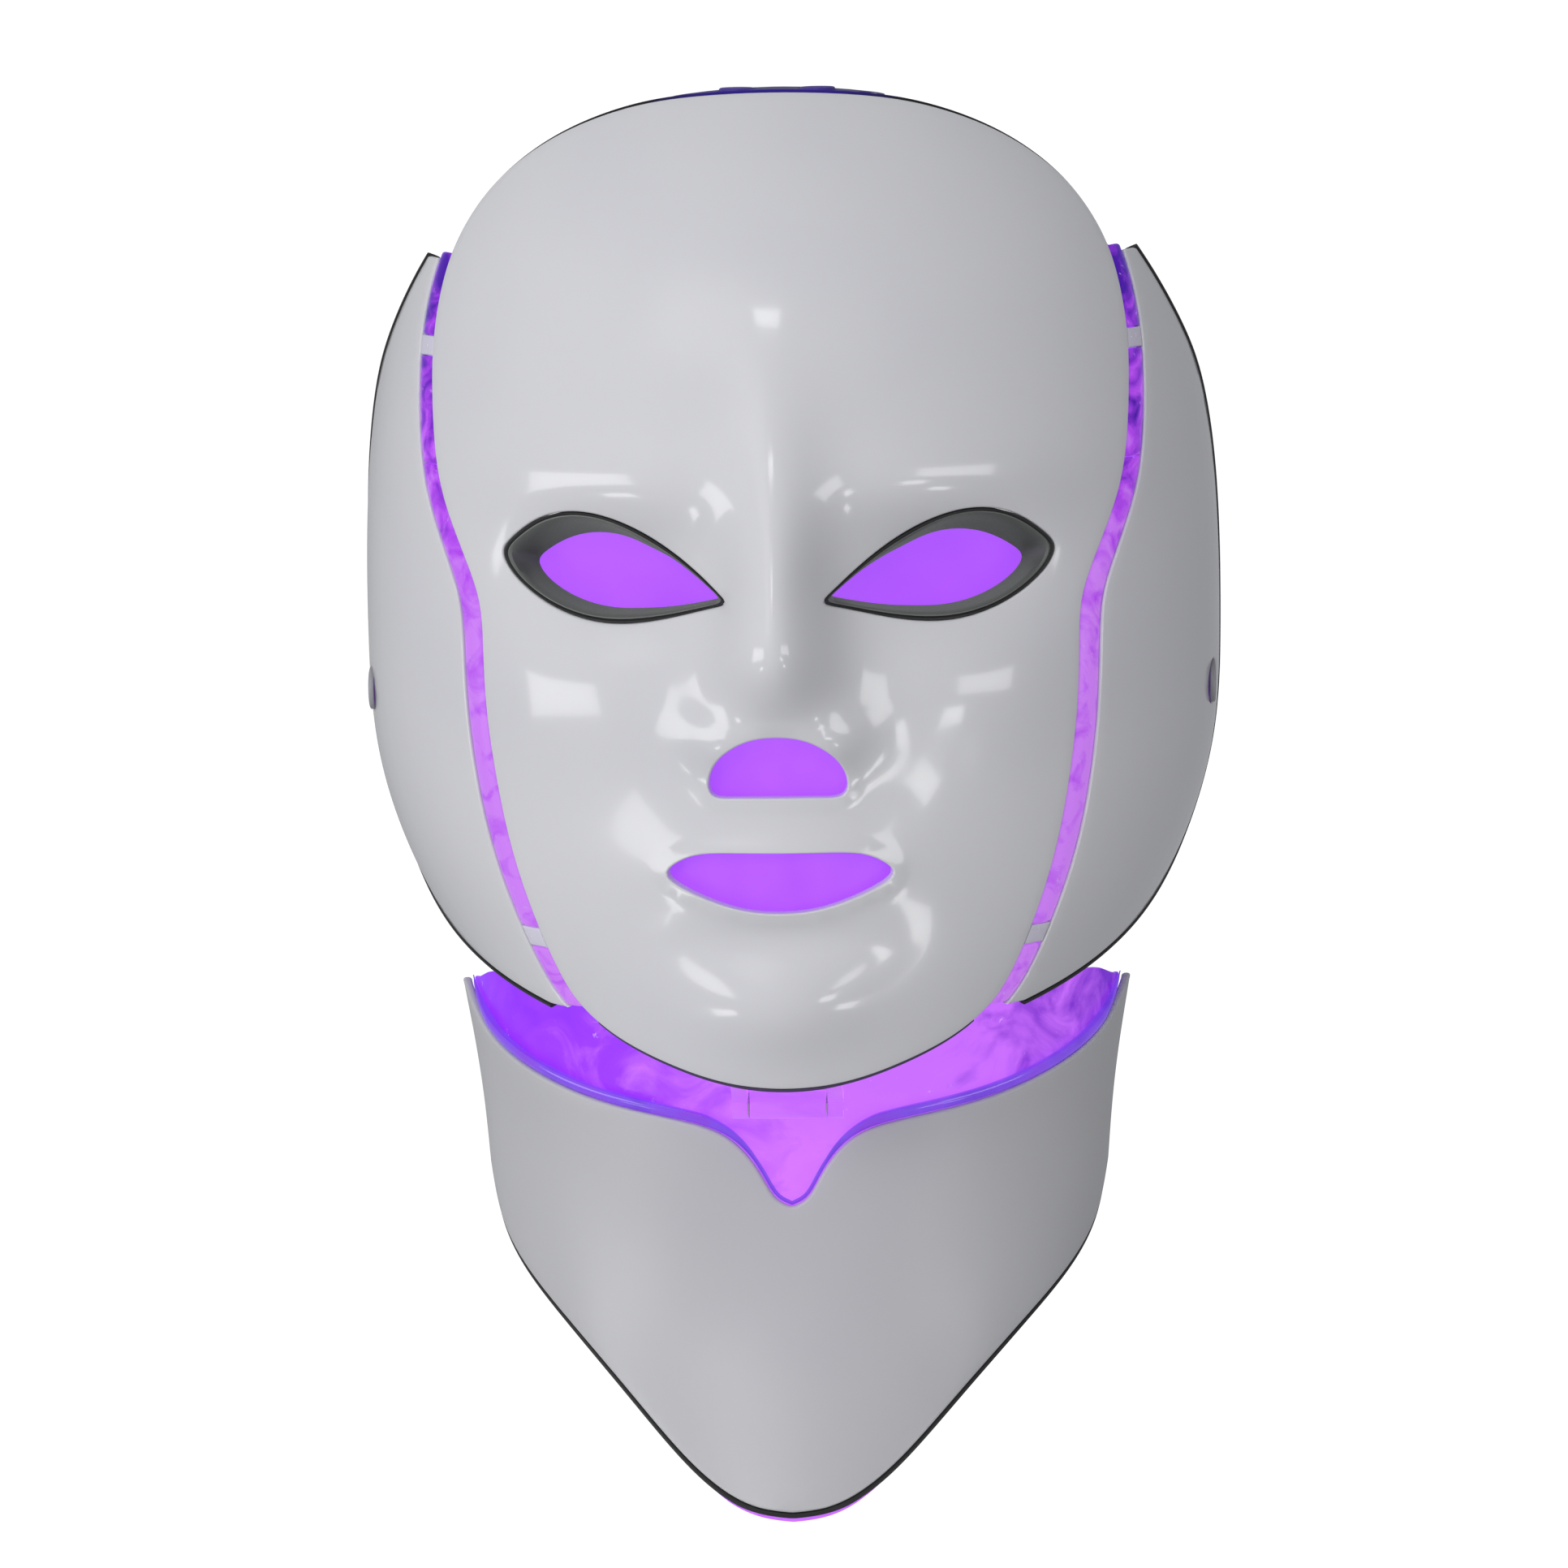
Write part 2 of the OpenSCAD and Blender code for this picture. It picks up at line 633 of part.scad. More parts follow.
// Flat ribbons that join the boards: [arc, z] of the lower and the upper end
ribbon_ends = [[[95, 96.3], [62, 149.7]], [[44, 31.3], [46, 57.7]]];
ribbon_half_w = 3;
ribbon_rows = 6;
module board_ribbons() {
    color("orange") both_sides() for (e = ribbon_ends)
        plate("face", [
            for (r = [0 : ribbon_rows])
                let (p = e[0] + (e[1] - e[0]) * r / ribbon_rows)
                [[p[0] - ribbon_half_w, p[1]], [p[0] + ribbon_half_w, p[1]]]
        ], board_front + 0.2, board_front + 0.5);
}

// ---- inner cover and what holds it ------------------------------------------
cover_inset = 5;
post_spots = [[64, 136], [118, 130], [120, 58], [70, 40]]; // [arc, z] on each side
post_r = 2.4;
post_gap = 0.6; // soft washers' room at each end of a post
screw_r = 0.9;
screw_head_r = 1.9;
screw_head = 1.1;
screw_hole_r = 1.2;
cover_split_z = eye_middle[1]; // height of the seam between forehead and cheek covers
seam = 0.1; // half width of the seams
module whole_cover() {
    difference() {
        sheet(full_outline, cover_inset, cover_front, cover_back);
        both_sides() {
            eye_window(eye_grown + 0.6);
            eyelet_hole(eyelet_tube_r + 0.3);
            for (p = post_spots)
                on_face(p[0], p[1], cover_back + 2) cylinder(r = screw_hole_r, h = 5, $fn = 16);
        }
        through_face(breathing_window);
        case_standoff_holes();
    }
}
module cover_part(x0, z0, z1) {
    one_mesh() intersection() {
        whole_cover();
        block(x0, 120, -120, 20, z0, z1);
    }
}
module forehead_cover() {
    color("lavender", 0.5) cover_part(-120, cover_split_z + seam, 240);
}
module left_cheek_cover() {
    color("lavender", 0.5) cover_part(seam, -20, cover_split_z - seam);
}
module right_cheek_cover() {
    color("lavender", 0.5) mirror([1, 0, 0]) cover_part(seam, -20, cover_split_z - seam);
}
module cover_posts() {
    color("gainsboro") both_sides() for (p = post_spots)
        on_face(p[0], p[1], cover_front - post_gap) difference() {
            cylinder(r = post_r, h = cover_front - liner_back - 2 * post_gap);
            translate([0, 0, -1]) cylinder(r = screw_hole_r, h = 4);
        }
}
module cover_screws() {
    color("silver") both_sides() for (p = post_spots)
        on_face(p[0], p[1], cover_back + 0.5) {
            translate([0, 0, -screw_head]) cylinder(r = screw_head_r, h = screw_head);
            cylinder(r = screw_r, h = 4);
        }
}

// ---- strap eyelets ----------------------------------------------------------
module strap_eyelet() {
    translate([0, eyelet_at[1], eyelet_z]) rotate([0, 90, 0]) rotate_extrude()
        polygon([
            [eyelet_r, eyelet_in], [eyelet_tube_r, eyelet_in],
            [eyelet_tube_r, eyelet_out - eyelet_flange],
            [eyelet_flange_r, eyelet_out - eyelet_flange],
            [eyelet_flange_r, eyelet_out], [eyelet_r, eyelet_out]
        ]);
}
module left_strap_eyelet() {
    color("gray") strap_eyelet();
}
module right_strap_eyelet() {
    color("gray") mirror([1, 0, 0]) strap_eyelet();
}

// Soft strip that rests on the forehead, below the case
pad_back = 14.5;
module forehead_pad() {
    color("darkslateblue") plate("face", patch(-38, 38, 170, 184, 10, 2), cover_back + 0.5, pad_back);
}

// ---- control case -----------------------------------------------------------
case_rear = case_front + case_d;
lid_h = 1.6; // thickness of the lid at its ends
lid_gap = 0.1;
lid_floor = case_top - lid_arch - lid_h;
lid_r = (case_w^2 / 4 + lid_arch^2) / (2 * lid_arch);
inner_front = case_front + case_wall;
inner_rear = case_rear - case_wall;
inner_floor = case_floor + case_wall;
button_spots = [-9, 9];
case_screw_x = case_w / 2 - 3.5;
case_mid_y = (case_front + case_rear) / 2;
screw_seat = lid_floor + 1.2; // floor of the recess for a screw's head
socket_z = 204;
socket_w = 9;
socket_t = 3.3;
module block(x0, x1, y0, y1, z0, z1) {
    translate([x0, y0, z0]) cube([x1 - x0, y1 - y0, z1 - z0]);
}
module rounded_block(w, y0, y1, z0, z1, r) {
    translate([0, (y0 + y1) / 2, z0]) linear_extrude(z1 - z0) union() {
        square([w - 2*r, y1 - y0], center = true);
        square([w, y1 - y0 - 2*r], center = true);
        for (x = [-1, 1], y = [-1, 1])
            translate([x * (w / 2 - r), y * ((y1 - y0) / 2 - r)]) circle(r = r);
    }
}
module slot_prism(w, t, l) {
    linear_extrude(l) union() {
        square([t, w - t], center = true);
        for (s = [-1, 1]) translate([0, s * (w - t) / 2]) circle(d = t);
    }
}
module control_case() {
    color("midnightblue") difference() {
        rounded_block(case_w, case_front, case_rear, case_floor, lid_floor - lid_gap, 3);
        block(-case_w / 2 + 7, case_w / 2 - 7, inner_front, inner_rear, inner_floor, case_top);
        for (s = [-1, 1])
            translate([s * case_screw_x, case_mid_y, lid_floor - 7.4]) cylinder(r = 0.9, h = 9);
        translate([-case_w / 2 - 1, case_mid_y, socket_z]) rotate([0, 90, 0])
            slot_prism(socket_w + 0.4, socket_t + 0.4, 9);
        for (s = [-1, 1])
            translate([s * standoff_x, case_front - 1, standoff_z]) rotate([-90, 0, 0])
                cylinder(r = screw_hole_r, h = 4);
    }
}
module control_case_lid() {
    color("midnightblue") difference() {
        intersection() {
            rounded_block(case_w, case_front, case_rear, lid_floor, case_top, 3);
            translate([0, case_rear + 1, case_top - lid_r]) rotate([90, 0, 0])
                cylinder(r = lid_r, h = case_d + 2, $fn = 360);
        }
        for (x = button_spots)
            translate([x, case_mid_y, lid_floor - 1]) cylinder(r = button_r + 0.35, h = 6);
        for (s = [-1, 1]) translate([s * case_screw_x, case_mid_y, 0]) {
            translate([0, 0, lid_floor - 1]) cylinder(r = 1.3, h = 6);
            translate([0, 0, screw_seat]) cylinder(r = 2.2, h = 4);
        }
    }
}
module case_screws() {
    color("silver") for (s = [-1, 1]) translate([s * case_screw_x, case_mid_y, screw_seat + 0.05]) {
        cylinder(r = screw_head_r, h = 0.7);
        translate([0, 0, -6]) cylinder(r = 0.85, h = 6);
    }
}
standoff_z = case_floor + 5;
standoff_x = 12;
standoff_l = 9.2;
module case_standoff_holes() {
    for (s = [-1, 1]) translate([s * standoff_x, -80, standoff_z]) rotate([-90, 0, 0])
        cylinder(r = screw_hole_r, h = 25, $fn = 16);
}
// Posts that carry the case on the inner cover
module case_standoffs() {
    color("midnightblue") for (s = [-1, 1])
        translate([s * standoff_x, case_front - standoff_l - 0.1, standoff_z])
            rotate([-90, 0, 0]) difference() {
                cylinder(r = 3, h = standoff_l);
                translate([0, 0, -1]) cylinder(r = 0.9, h = standoff_l + 2);
            }
}
battery_h = 9;
module battery() {
    color("silver") rounded_block(case_w - 15, inner_front + 0.4, inner_rear - 0.4,
        inner_floor + 0.2, inner_floor + battery_h, 1.5);
}
board_z = inner_floor + battery_h + 0.5;
module control_board() {
    color("darkgreen") block(-case_w / 2 + 7.4, case_w / 2 - 7.4, inner_front + 0.3,
        inner_rear - 0.3, board_z, board_z + 1);
}
button_floor = lid_floor - 1.3;
module button_switches() {
    color("dimgray") for (x = button_spots) {
        block(x - 3, x + 3, case_mid_y - 3, case_mid_y + 3, board_z + 1.05,
            button_floor - button_travel - 1);
        translate([x, case_mid_y, button_floor - button_travel - 1])
            cylinder(r = 1.6, h = 0.7);
    }
}
module charging_socket() {
    color("silver") translate([-case_w / 2 + 0.2, case_mid_y, socket_z]) rotate([0, 90, 0])
        difference() {
            slot_prism(socket_w, socket_t, 6.8);
            translate([0, 0, -1]) slot_prism(socket_w - 0.7, socket_t - 0.7, 6.8);
        }
}
module push_button() {
    translate([0, case_mid_y, button_floor]) {
        cylinder(r = button_r + 1, h = 1);
        cylinder(r = button_r, h = case_top + button_proud - button_floor);
    }
}
module power_button() {
    color("slateblue") translate([button_spots[0], 0, 0]) push_button();
}
module mode_button() {
    color("slateblue") translate([button_spots[1], 0, 0]) push_button();
}

// ---- chin hinge --------------------------------------------------------------
bracket_front = -82.2;
bracket_top = 5.4;
module knuckle(x0, x1, bore) {
    translate([x0, hinge_y, hinge_z]) rotate([0, 90, 0]) difference() {
        cylinder(r = knuckle_r, h = x1 - x0);
        translate([0, 0, -1]) cylinder(r = bore, h = x1 - x0 + 2);
    }
}
module pin_bore(bore) {
    translate([-hinge_half_w - 1, hinge_y, hinge_z]) rotate([0, 90, 0])
        cylinder(r = bore, h = 2*hinge_half_w + 2);
}
washer_w = 0.3;
outer_knuckle = neck_knuckle + washer_w + 0.2;
module bracket_arm() {
    translate([outer_knuckle, 0, 0]) rotate([90, 0, 90])
        linear_extrude(hinge_half_w - outer_knuckle)
            polygon([
                [bracket_front, 0.6], [bracket_front, bracket_top],
                [bracket_front + 2, bracket_top], [bracket_front + 2, 1.2],
                [hinge_y + 0.6, hinge_z + knuckle_r - 0.2], [hinge_y, hinge_z],
                [hinge_y - 2.8, hinge_z + 1]
            ]);
}
module hinge_bracket() {
    color("plum") difference() {
        union() {
            block(-hinge_half_w, hinge_half_w, bracket_front, bracket_front + 2, 1, bracket_top);
            both_sides() bracket_arm();
            both_sides() knuckle(outer_knuckle, hinge_half_w, 0.5);
        }
        pin_bore(pin_r);
    }
}
module hinge_pin() {
    color("silver") translate([-hinge_half_w, hinge_y, hinge_z]) rotate([0, 90, 0])
        cylinder(r = pin_r, h = 2*hinge_half_w);
}
module contact_washers() {
    color("goldenrod") both_sides()
        translate([neck_knuckle + 0.1, hinge_y, hinge_z]) rotate([0, 90, 0]) difference() {
            cylinder(r = knuckle_r - 0.4, h = washer_w);
            translate([0, 0, -1]) cylinder(r = pin_r + 0.02, h = 3);
        }
}

// ---- neck piece --------------------------------------------------------------
neck_columns = [0, 3, 6, 9, 13, 18, 26, 36, 47, 58, 69, 80, 90, 99, neck_edge];
neck_rows = 7;
function neck_grid(top, bottom, drop, rows, inset) =
    let (side = [for (u = neck_columns) if (u <= neck_edge - inset || u == neck_edge)
             min(u, neck_edge - inset)],
         all = concat([for (i = [len(side) - 1 : -1 : 1]) -side[i]], side))
    [for (r = [0 : rows]) [
        for (u = all)
            let (lo = lookup(abs(u), bottom) - drop, hi = lookup(abs(u), top))
            [u, lo + (hi - lo) * r / rows]
    ]];
collar_line = [
    [0, collar_top], [60, collar_top + 3], [85, collar_top + 7], [98, collar_top + 6],
    [neck_edge, collar_top]
];
neck_liner_front = 2.8;
neck_liner_back = 4.2;
neck_board_front = 5.4;
neck_board_back = 6.1;
neck_cover_front = 8.6;
neck_cover_back = 9.6;
module neck_shell() {
    color("whitesmoke") plate("neck", neck_grid(neck_top, neck_bottom, 0, neck_rows, 0),
        0, neck_wall);
}
module neck_liner() {
    color("mediumorchid", 0.7) plate("neck",
        neck_grid(collar_line, neck_bottom, liner_lip, 9, 0), neck_liner_front, neck_liner_back);
}
module neck_seal() {
    us = [for (i = [-len(neck_columns) + 1 : len(neck_columns) - 1])
        sign(i) * neck_columns[abs(i)]];
    color("black") plate("neck", [
        [for (u = us) [u, lookup(abs(u), neck_bottom) - neck_seal_w]],
        [for (u = us) [u, lookup(abs(u), neck_bottom) - seal_gap]]
    ], 0.3, 2.4);
}
neck_area = [-56, 56, -54, -24];
module neck_board() {
    color("seagreen") plate("neck",
        patch(neck_area[0], neck_area[1], neck_area[2], neck_area[3], 10, 2),
        neck_board_front, neck_board_back);
}
module neck_leds() {
    color("violet") for (c = [-3 : 3], z = [-46, -32])
        on_neck(c * 16, z, neck_board_back + led_clear)
            translate([-led_w / 2, -led_l / 2, -led_h]) cube([led_w, led_l, led_h]);
}
neck_cover_top = [[0, -14], [60, -10], [90, -2], [neck_edge, 4]];
module neck_inner_cover() {
    color("lavender", 0.5) one_mesh() difference() {
        plate("neck", neck_grid(neck_cover_top, neck_bottom, -5, 6, 5),
            neck_cover_front, neck_cover_back);
        both_sides() for (p = neck_post_spots)
            on_neck(p[0], p[1], neck_cover_front)
                translate([0, 0, -3]) cylinder(r = screw_hole_r, h = 6, $fn = 16);
    }
}
neck_post_spots = [[70, -36], [22, -66]];
neck_post_gap = 0.5;
neck_post_l = 3;
module neck_posts() {
    color("gainsboro") both_sides() for (p = neck_post_spots)
        on_neck(p[0], p[1], neck_cover_front) translate([0, 0, neck_post_gap]) difference() {
            cylinder(r = post_r, h = neck_post_l);
            translate([0, 0, -1]) cylinder(r = screw_hole_r, h = 3.4);
        }
}
module neck_screws() {
    head_z = neck_cover_front - neck_cover_back - 0.5;
    color("silver") both_sides() for (p = neck_post_spots)
        on_neck(p[0], p[1], neck_cover_front) translate([0, 0, head_z]) {
            translate([0, 0, -screw_head]) cylinder(r = screw_head_r, h = screw_head);
            cylinder(r = screw_r, h = 3.6);
        }
}
lug_h = 5;
lug_back = neck_at(0, hinge_z + lug_h, neck_liner_front)[1] - 0.2;
module neck_hinge_lug() {
    color("plum") difference() {
        union() {
            knuckle(-neck_knuckle, neck_knuckle, 0.5);
            block(-neck_knuckle, neck_knuckle, hinge_y, lug_back, hinge_z - 1.5, hinge_z + 1.5);
            block(-neck_knuckle, neck_knuckle, lug_back - 1.6, lug_back, hinge_z - lug_h, hinge_z + lug_h);
        }
        pin_bore(pin_r + pin_clearance);
    }
}

face_shell();
left_cheek_shell();
right_cheek_shell();
face_liner();
face_shell_seal();
left_cheek_seal();
right_cheek_seal();
left_light_strip();
right_light_strip();
left_bridge_clips();
right_bridge_clips();
left_eye_cup();
right_eye_cup();
left_eye_lens();
right_eye_lens();
forehead_board();
left_cheek_board();
right_cheek_board();
chin_board();
forehead_leds();
left_cheek_leds();
right_cheek_leds();
chin_leds();
board_ribbons();
forehead_cover();
left_cheek_cover();
right_cheek_cover();
cover_posts();
cover_screws();
left_strap_eyelet();
right_strap_eyelet();
forehead_pad();
control_case();
control_case_lid();
case_screws();
case_standoffs();
battery();
control_board();
button_switches();
charging_socket();
power_button();
mode_button();
hinge_bracket();
hinge_pin();
contact_washers();
neck_shell();
neck_liner();
neck_seal();
neck_board();
neck_leds();
neck_inner_cover();
neck_posts();
neck_screws();
neck_hinge_lug();
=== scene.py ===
"""Looks of a light-therapy face mask with a hinged neck piece.

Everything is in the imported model's frame: +Z up, the face looks toward -Y, the
wearer's left is +X. The forms below are in millimetres and become metres in `piece`.
"""
import json
import math

import bmesh
import bpy
import numpy as np
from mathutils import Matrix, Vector
from mathutils.geometry import delaunay_2d_cdt


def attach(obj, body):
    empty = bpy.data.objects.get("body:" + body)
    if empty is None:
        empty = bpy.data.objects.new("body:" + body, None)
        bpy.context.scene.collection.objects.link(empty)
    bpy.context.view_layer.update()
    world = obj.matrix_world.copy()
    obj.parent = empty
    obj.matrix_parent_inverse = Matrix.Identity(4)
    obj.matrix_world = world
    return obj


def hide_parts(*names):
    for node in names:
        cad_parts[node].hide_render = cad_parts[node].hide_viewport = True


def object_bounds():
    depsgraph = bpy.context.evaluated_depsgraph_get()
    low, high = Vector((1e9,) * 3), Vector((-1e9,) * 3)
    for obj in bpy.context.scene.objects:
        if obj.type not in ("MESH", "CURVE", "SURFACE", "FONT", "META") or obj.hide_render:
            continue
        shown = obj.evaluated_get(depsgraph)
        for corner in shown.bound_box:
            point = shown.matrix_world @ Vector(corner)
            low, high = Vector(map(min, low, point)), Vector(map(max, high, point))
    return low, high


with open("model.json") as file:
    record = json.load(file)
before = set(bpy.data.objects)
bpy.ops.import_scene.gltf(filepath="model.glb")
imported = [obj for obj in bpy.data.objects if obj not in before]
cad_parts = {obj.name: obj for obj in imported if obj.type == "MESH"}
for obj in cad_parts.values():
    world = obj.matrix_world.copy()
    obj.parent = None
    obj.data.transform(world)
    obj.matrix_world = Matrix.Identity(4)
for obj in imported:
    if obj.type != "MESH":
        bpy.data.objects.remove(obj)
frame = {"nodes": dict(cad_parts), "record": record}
cad_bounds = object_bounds()
MM = 0.001


# ---- smooth curves ------------------------------------------------------------
def soft(a, b, c, d, t):
    """Smooth blend of four neighbouring values, t of the way from the second to the third."""
    return ((1 - t)**3 * a + (3*t**3 - 6*t**2 + 4) * b + (-3*t**3 + 3*t**2 + 3*t + 1) * c + t**3 * d) / 6


def along(values, first, step, at):
    """Smooth curve through values that stand `step` apart from `first` on."""
    v = np.asarray(values, float)
    q = np.clip((np.asarray(at, float) - first) / step, 0, len(v) - 1.001)
    i = np.floor(q).astype(int)
    ends = np.concatenate([[2*v[0] - v[1]], v, [2*v[-1] - v[-2]]])
    return soft(ends[i], ends[i + 1], ends[i + 2], ends[np.minimum(i + 3, len(ends) - 1)], q - i)


def smooth_ring(points, n):
    """Closed smooth outline round a ring of control points."""
    p = np.asarray(points, float)
    q = np.arange(n) * len(p) / n
    i = np.floor(q).astype(int)
    m = len(p)
    return soft(p[(i - 1) % m], p[i % m], p[(i + 1) % m], p[(i + 2) % m], (q - i)[:, None])


def smooth_line(points, n):
    """Open smooth line along control points, from the first to the last."""
    p = np.asarray(points, float)
    ends = np.vstack([2*p[0] - p[1], p, 2*p[-1] - p[-2]])
    q = np.minimum(np.arange(n + 1) * (len(p) - 1) / n, len(p) - 1.0001)
    i = np.floor(q).astype(int)
    return soft(ends[i], ends[i + 1], ends[i + 2], ends[i + 3], (q - i)[:, None])


def even(points, spacing, closed=True):
    """The same line with points evenly `spacing` apart."""
    p = np.asarray(points, float)
    if closed:
        p = np.vstack([p, p[:1]])
    run = np.concatenate([[0], np.cumsum(np.linalg.norm(np.diff(p, axis=0), axis=1))])
    n = max(3, int(round(run[-1] / spacing)))
    at = np.linspace(0, run[-1], n, endpoint=not closed)
    return np.stack([np.interp(at, run, p[:, i]) for i in range(p.shape[1])], -1)


def mirrored(points):
    """A line's mirror image across the middle, run the other way."""
    return [(-x, z) for x, z in reversed(points)]


def turns(n):
    """Angles spaced evenly round a full turn."""
    return np.linspace(0, 2 * math.pi, n, endpoint=False)


# ---- the face's form ----------------------------------------------------------
HALF_WIDTHS = [68, 78, 92, 99.5, 100, 99.8, 98, 93.5, 85, 67, 44]
HALF_WIDTH_FROM = -10
DEPTHS = [88, 93, 94, 95, 96, 97, 99, 96.5, 84, 60, 26]
FORM_STEP = 25
ARC_SCALE = 98
NOSE_RIDGE = [0, 0, 2, 10, 20, 17, 12, 7, 3, 1, 0, 0]
NOSE_FROM = 51
NOSE_STEP = 12
RELIEF_FADE = 30


def half_w(z):
    """Half of the face's width at a height."""
    return along(HALF_WIDTHS, HALF_WIDTH_FROM, FORM_STEP, z)


def depth(z):
    """The face's depth at a height, without its relief."""
    return along(DEPTHS, 0, FORM_STEP, z)


def arc_of(x, z):
    """The arc that a distance x from the middle stands for."""
    return ARC_SCALE * np.arcsin(np.clip(np.asarray(x, float) / half_w(z), -1, 1))


def swell(x, z, cx, cz, sx, sz):
    """A soft round swell of height 1 at (cx, cz)."""
    return np.exp(-((x - cx) / sx)**2 - ((z - cz) / sz)**2)


def relief(x, z):
    """How far the nose, eyes, cheeks, mouth and chin stand off the plain form."""
    side = np.abs(x)
    nose_w = 10 + 4.5 * np.clip((115 - z) / 30, 0, 1)  # the nose widens toward its tip
    return (along(NOSE_RIDGE, NOSE_FROM, NOSE_STEP, z) * np.exp(-(x / nose_w)**2)
            + 3.5 * swell(side, z, 13, 80, 8, 7)     # nostrils
            - 6 * swell(side, z, 35, 115, 21, 13)    # eye sockets
            + 2 * swell(side, z, 33, 136, 28, 9)     # brows
            + 3 * swell(side, z, 46, 90, 22, 20)     # cheekbones
            + 4 * swell(x, z, 0, 52, 26, 16)         # mouth
            - 2 * swell(x, z, 0, 34, 18, 6)          # fold above the chin
            + 5 * swell(x, z, 0, 20, 18, 13))        # chin


def face_at(u, z, d):
    """Point on the face at arc u and height z, d millimetres behind the outer skin."""
    u = np.asarray(u, float)
    z = np.asarray(z, float)
    a = u / ARC_SCALE
    w = half_w(z)
    b = depth(z)
    dw = half_w(z + 0.5) - half_w(z - 0.5)
    db = depth(z + 0.5) - depth(z - 0.5)
    n = np.stack([b * np.sin(a), -w * np.cos(a), -(w * db * np.cos(a)**2 + b * dw * np.sin(a)**2)], -1)
    n /= np.linalg.norm(n, axis=-1, keepdims=True)
    p = np.stack([w * np.sin(a), -b * np.cos(a), z + 0*a], -1)
    out = relief(p[..., 0], z) * (1 - d / RELIEF_FADE) - d
    return p + n * out[..., None]


# ---- the neck's form ----------------------------------------------------------
NECK_HALF_WIDTHS = [60, 66.5, 69.5, 72.5, 74, 75, 77, 79.8, 82]
NECK_DEPTHS = [72, 64, 57, 53, 52, 53, 56, 60, 64]
NECK_FROM = -100
NECK_STEP = 16
NECK_BACK = -8
NECK_ARC = 76


def neck_at(u, z, d):
    """Point on the neck at arc u and height z, d millimetres behind the outer skin."""
    u = np.asarray(u, float)
    z = np.asarray(z, float)
    a = u / NECK_ARC
    w = along(NECK_HALF_WIDTHS, NECK_FROM, NECK_STEP, z)
    b = along(NECK_DEPTHS, NECK_FROM, NECK_STEP, z)
    return np.stack([(w - d) * np.sin(a), NECK_BACK - (b - d) * np.cos(a), z + 0*a], -1)


# ---- outlines: the face's by width and height, the rear edge's by angle, the neck's by arc ----
CENTRE_HALF = [
    (13.4, 0.6), (25, 4), (38, 9), (47, 16), (51, 23), (55, 32), (59.6, 45), (62.7, 58),
    (64.4, 71), (65.2, 82), (65.6, 95), (66.4, 106), (69, 113), (73.2, 123), (76.2, 132),
    (77.7, 143), (78.1, 153), (78.1, 164), (76.2, 176), (73, 186), (66, 197), (57, 205),
    (47, 211), (35, 215.6), (22, 218.4)]
REAR_EDGE = [
    (66.5, 182), (73.5, 167), (80, 156), (84, 146), (88, 126), (90, 106), (90, 80),
    (90, 61), (88.5, 49), (86.5, 41), (80.5, 33), (71.6, 26.5), (62, 21.7), (53, 18),
    (43, 14.8)]
EYE = [
    (9, 111.2), (13, 113), (22, 119.8), (33, 127.2), (43, 130.2), (53, 128.2),
    (60.5, 122), (62.5, 119), (59.5, 113.6), (52, 108), (42, 104.6), (32, 104.4),
    (21, 106.8), (12.5, 109.6)]
NOSE = [
    (0, 67.4), (9, 67.4), (14.6, 66.9), (15.4, 71), (12.4, 77), (6, 81.4), (0, 81.9),
    (-6, 81.4), (-12.4, 77), (-15.4, 71), (-14.6, 66.9), (-9, 67.4)]
MOUTH = [
    (0, 55.2), (12, 55.2), (19, 54.6), (25.2, 50.6), (24, 48), (16, 44.4), (8, 41.8),
    (0, 41.2), (-8, 41.8), (-16, 44.4), (-24, 48), (-25.2, 50.6), (-19, 54.6), (-12, 55.2)]
NECK_TOP = [
    (0, -34.5), (4, -33), (6.5, -28), (9.5, -23), (14, -18.3), (20, -15.4), (30.6, -13.6),
    (47.8, -11.4), (65.6, -7.4), (82.8, -2.6), (93.5, 2), (101, 7), (107, 11)]
NECK_BOTTOM = [
    (0, -101), (9, -100.4), (18, -98.2), (28, -93), (37, -86), (49, -76), (67, -64),
    (84.6, -55), (96, -48.5), (102, -43), (107, -34)]


def unrolled(points):
    """Points given by width and height, as arc and height."""
    p = np.asarray(points, float)
    return np.stack([arc_of(p[:, 0], p[:, 1]), p[:, 1]], -1)


def shrunk(outline, by):
    """A closed outline moved inward by a distance; its points run anticlockwise."""
    ahead = np.roll(outline, -1, 0) - np.roll(outline, 1, 0)
    ahead /= np.linalg.norm(ahead, axis=1, keepdims=True)
    return outline + by * np.stack([-ahead[:, 1], ahead[:, 0]], -1)


def anticlockwise(outline):
    """A closed outline in the direction that `shrunk` and `shell` expect."""
    x, z = outline[:, 0], outline[:, 1]
    area = np.sum(x * np.roll(z, -1) - np.roll(x, -1) * z)
    return outline if area > 0 else outline[::-1]


def inside(points, outline):
    """Which points lie inside a closed outline."""
    x, z = points[:, 0][:, None], points[:, 1][:, None]
    a, b = outline, np.roll(outline, -1, 0)
    crosses = (a[:, 1] > z) != (b[:, 1] > z)
    rise = np.where(b[:, 1] == a[:, 1], 1e-9, b[:, 1] - a[:, 1])
    at = a[:, 0] + (z - a[:, 1]) * (b[:, 0] - a[:, 0]) / rise
    return (np.sum(crosses & (x < at), axis=1) % 2) == 1


def nearest(points, outline):
    """Distance from each point to an outline's points."""
    best = np.full(len(points), 1e9)
    for i in range(0, len(outline), 64):
        part = outline[i:i + 64]
        best = np.minimum(best, np.sqrt(((points[:, None, :] - part[None])**2).sum(-1)).min(1))
    return best


CHIN_TIP, CROWN_TIP = (0, -0.6), (0, 219.6)


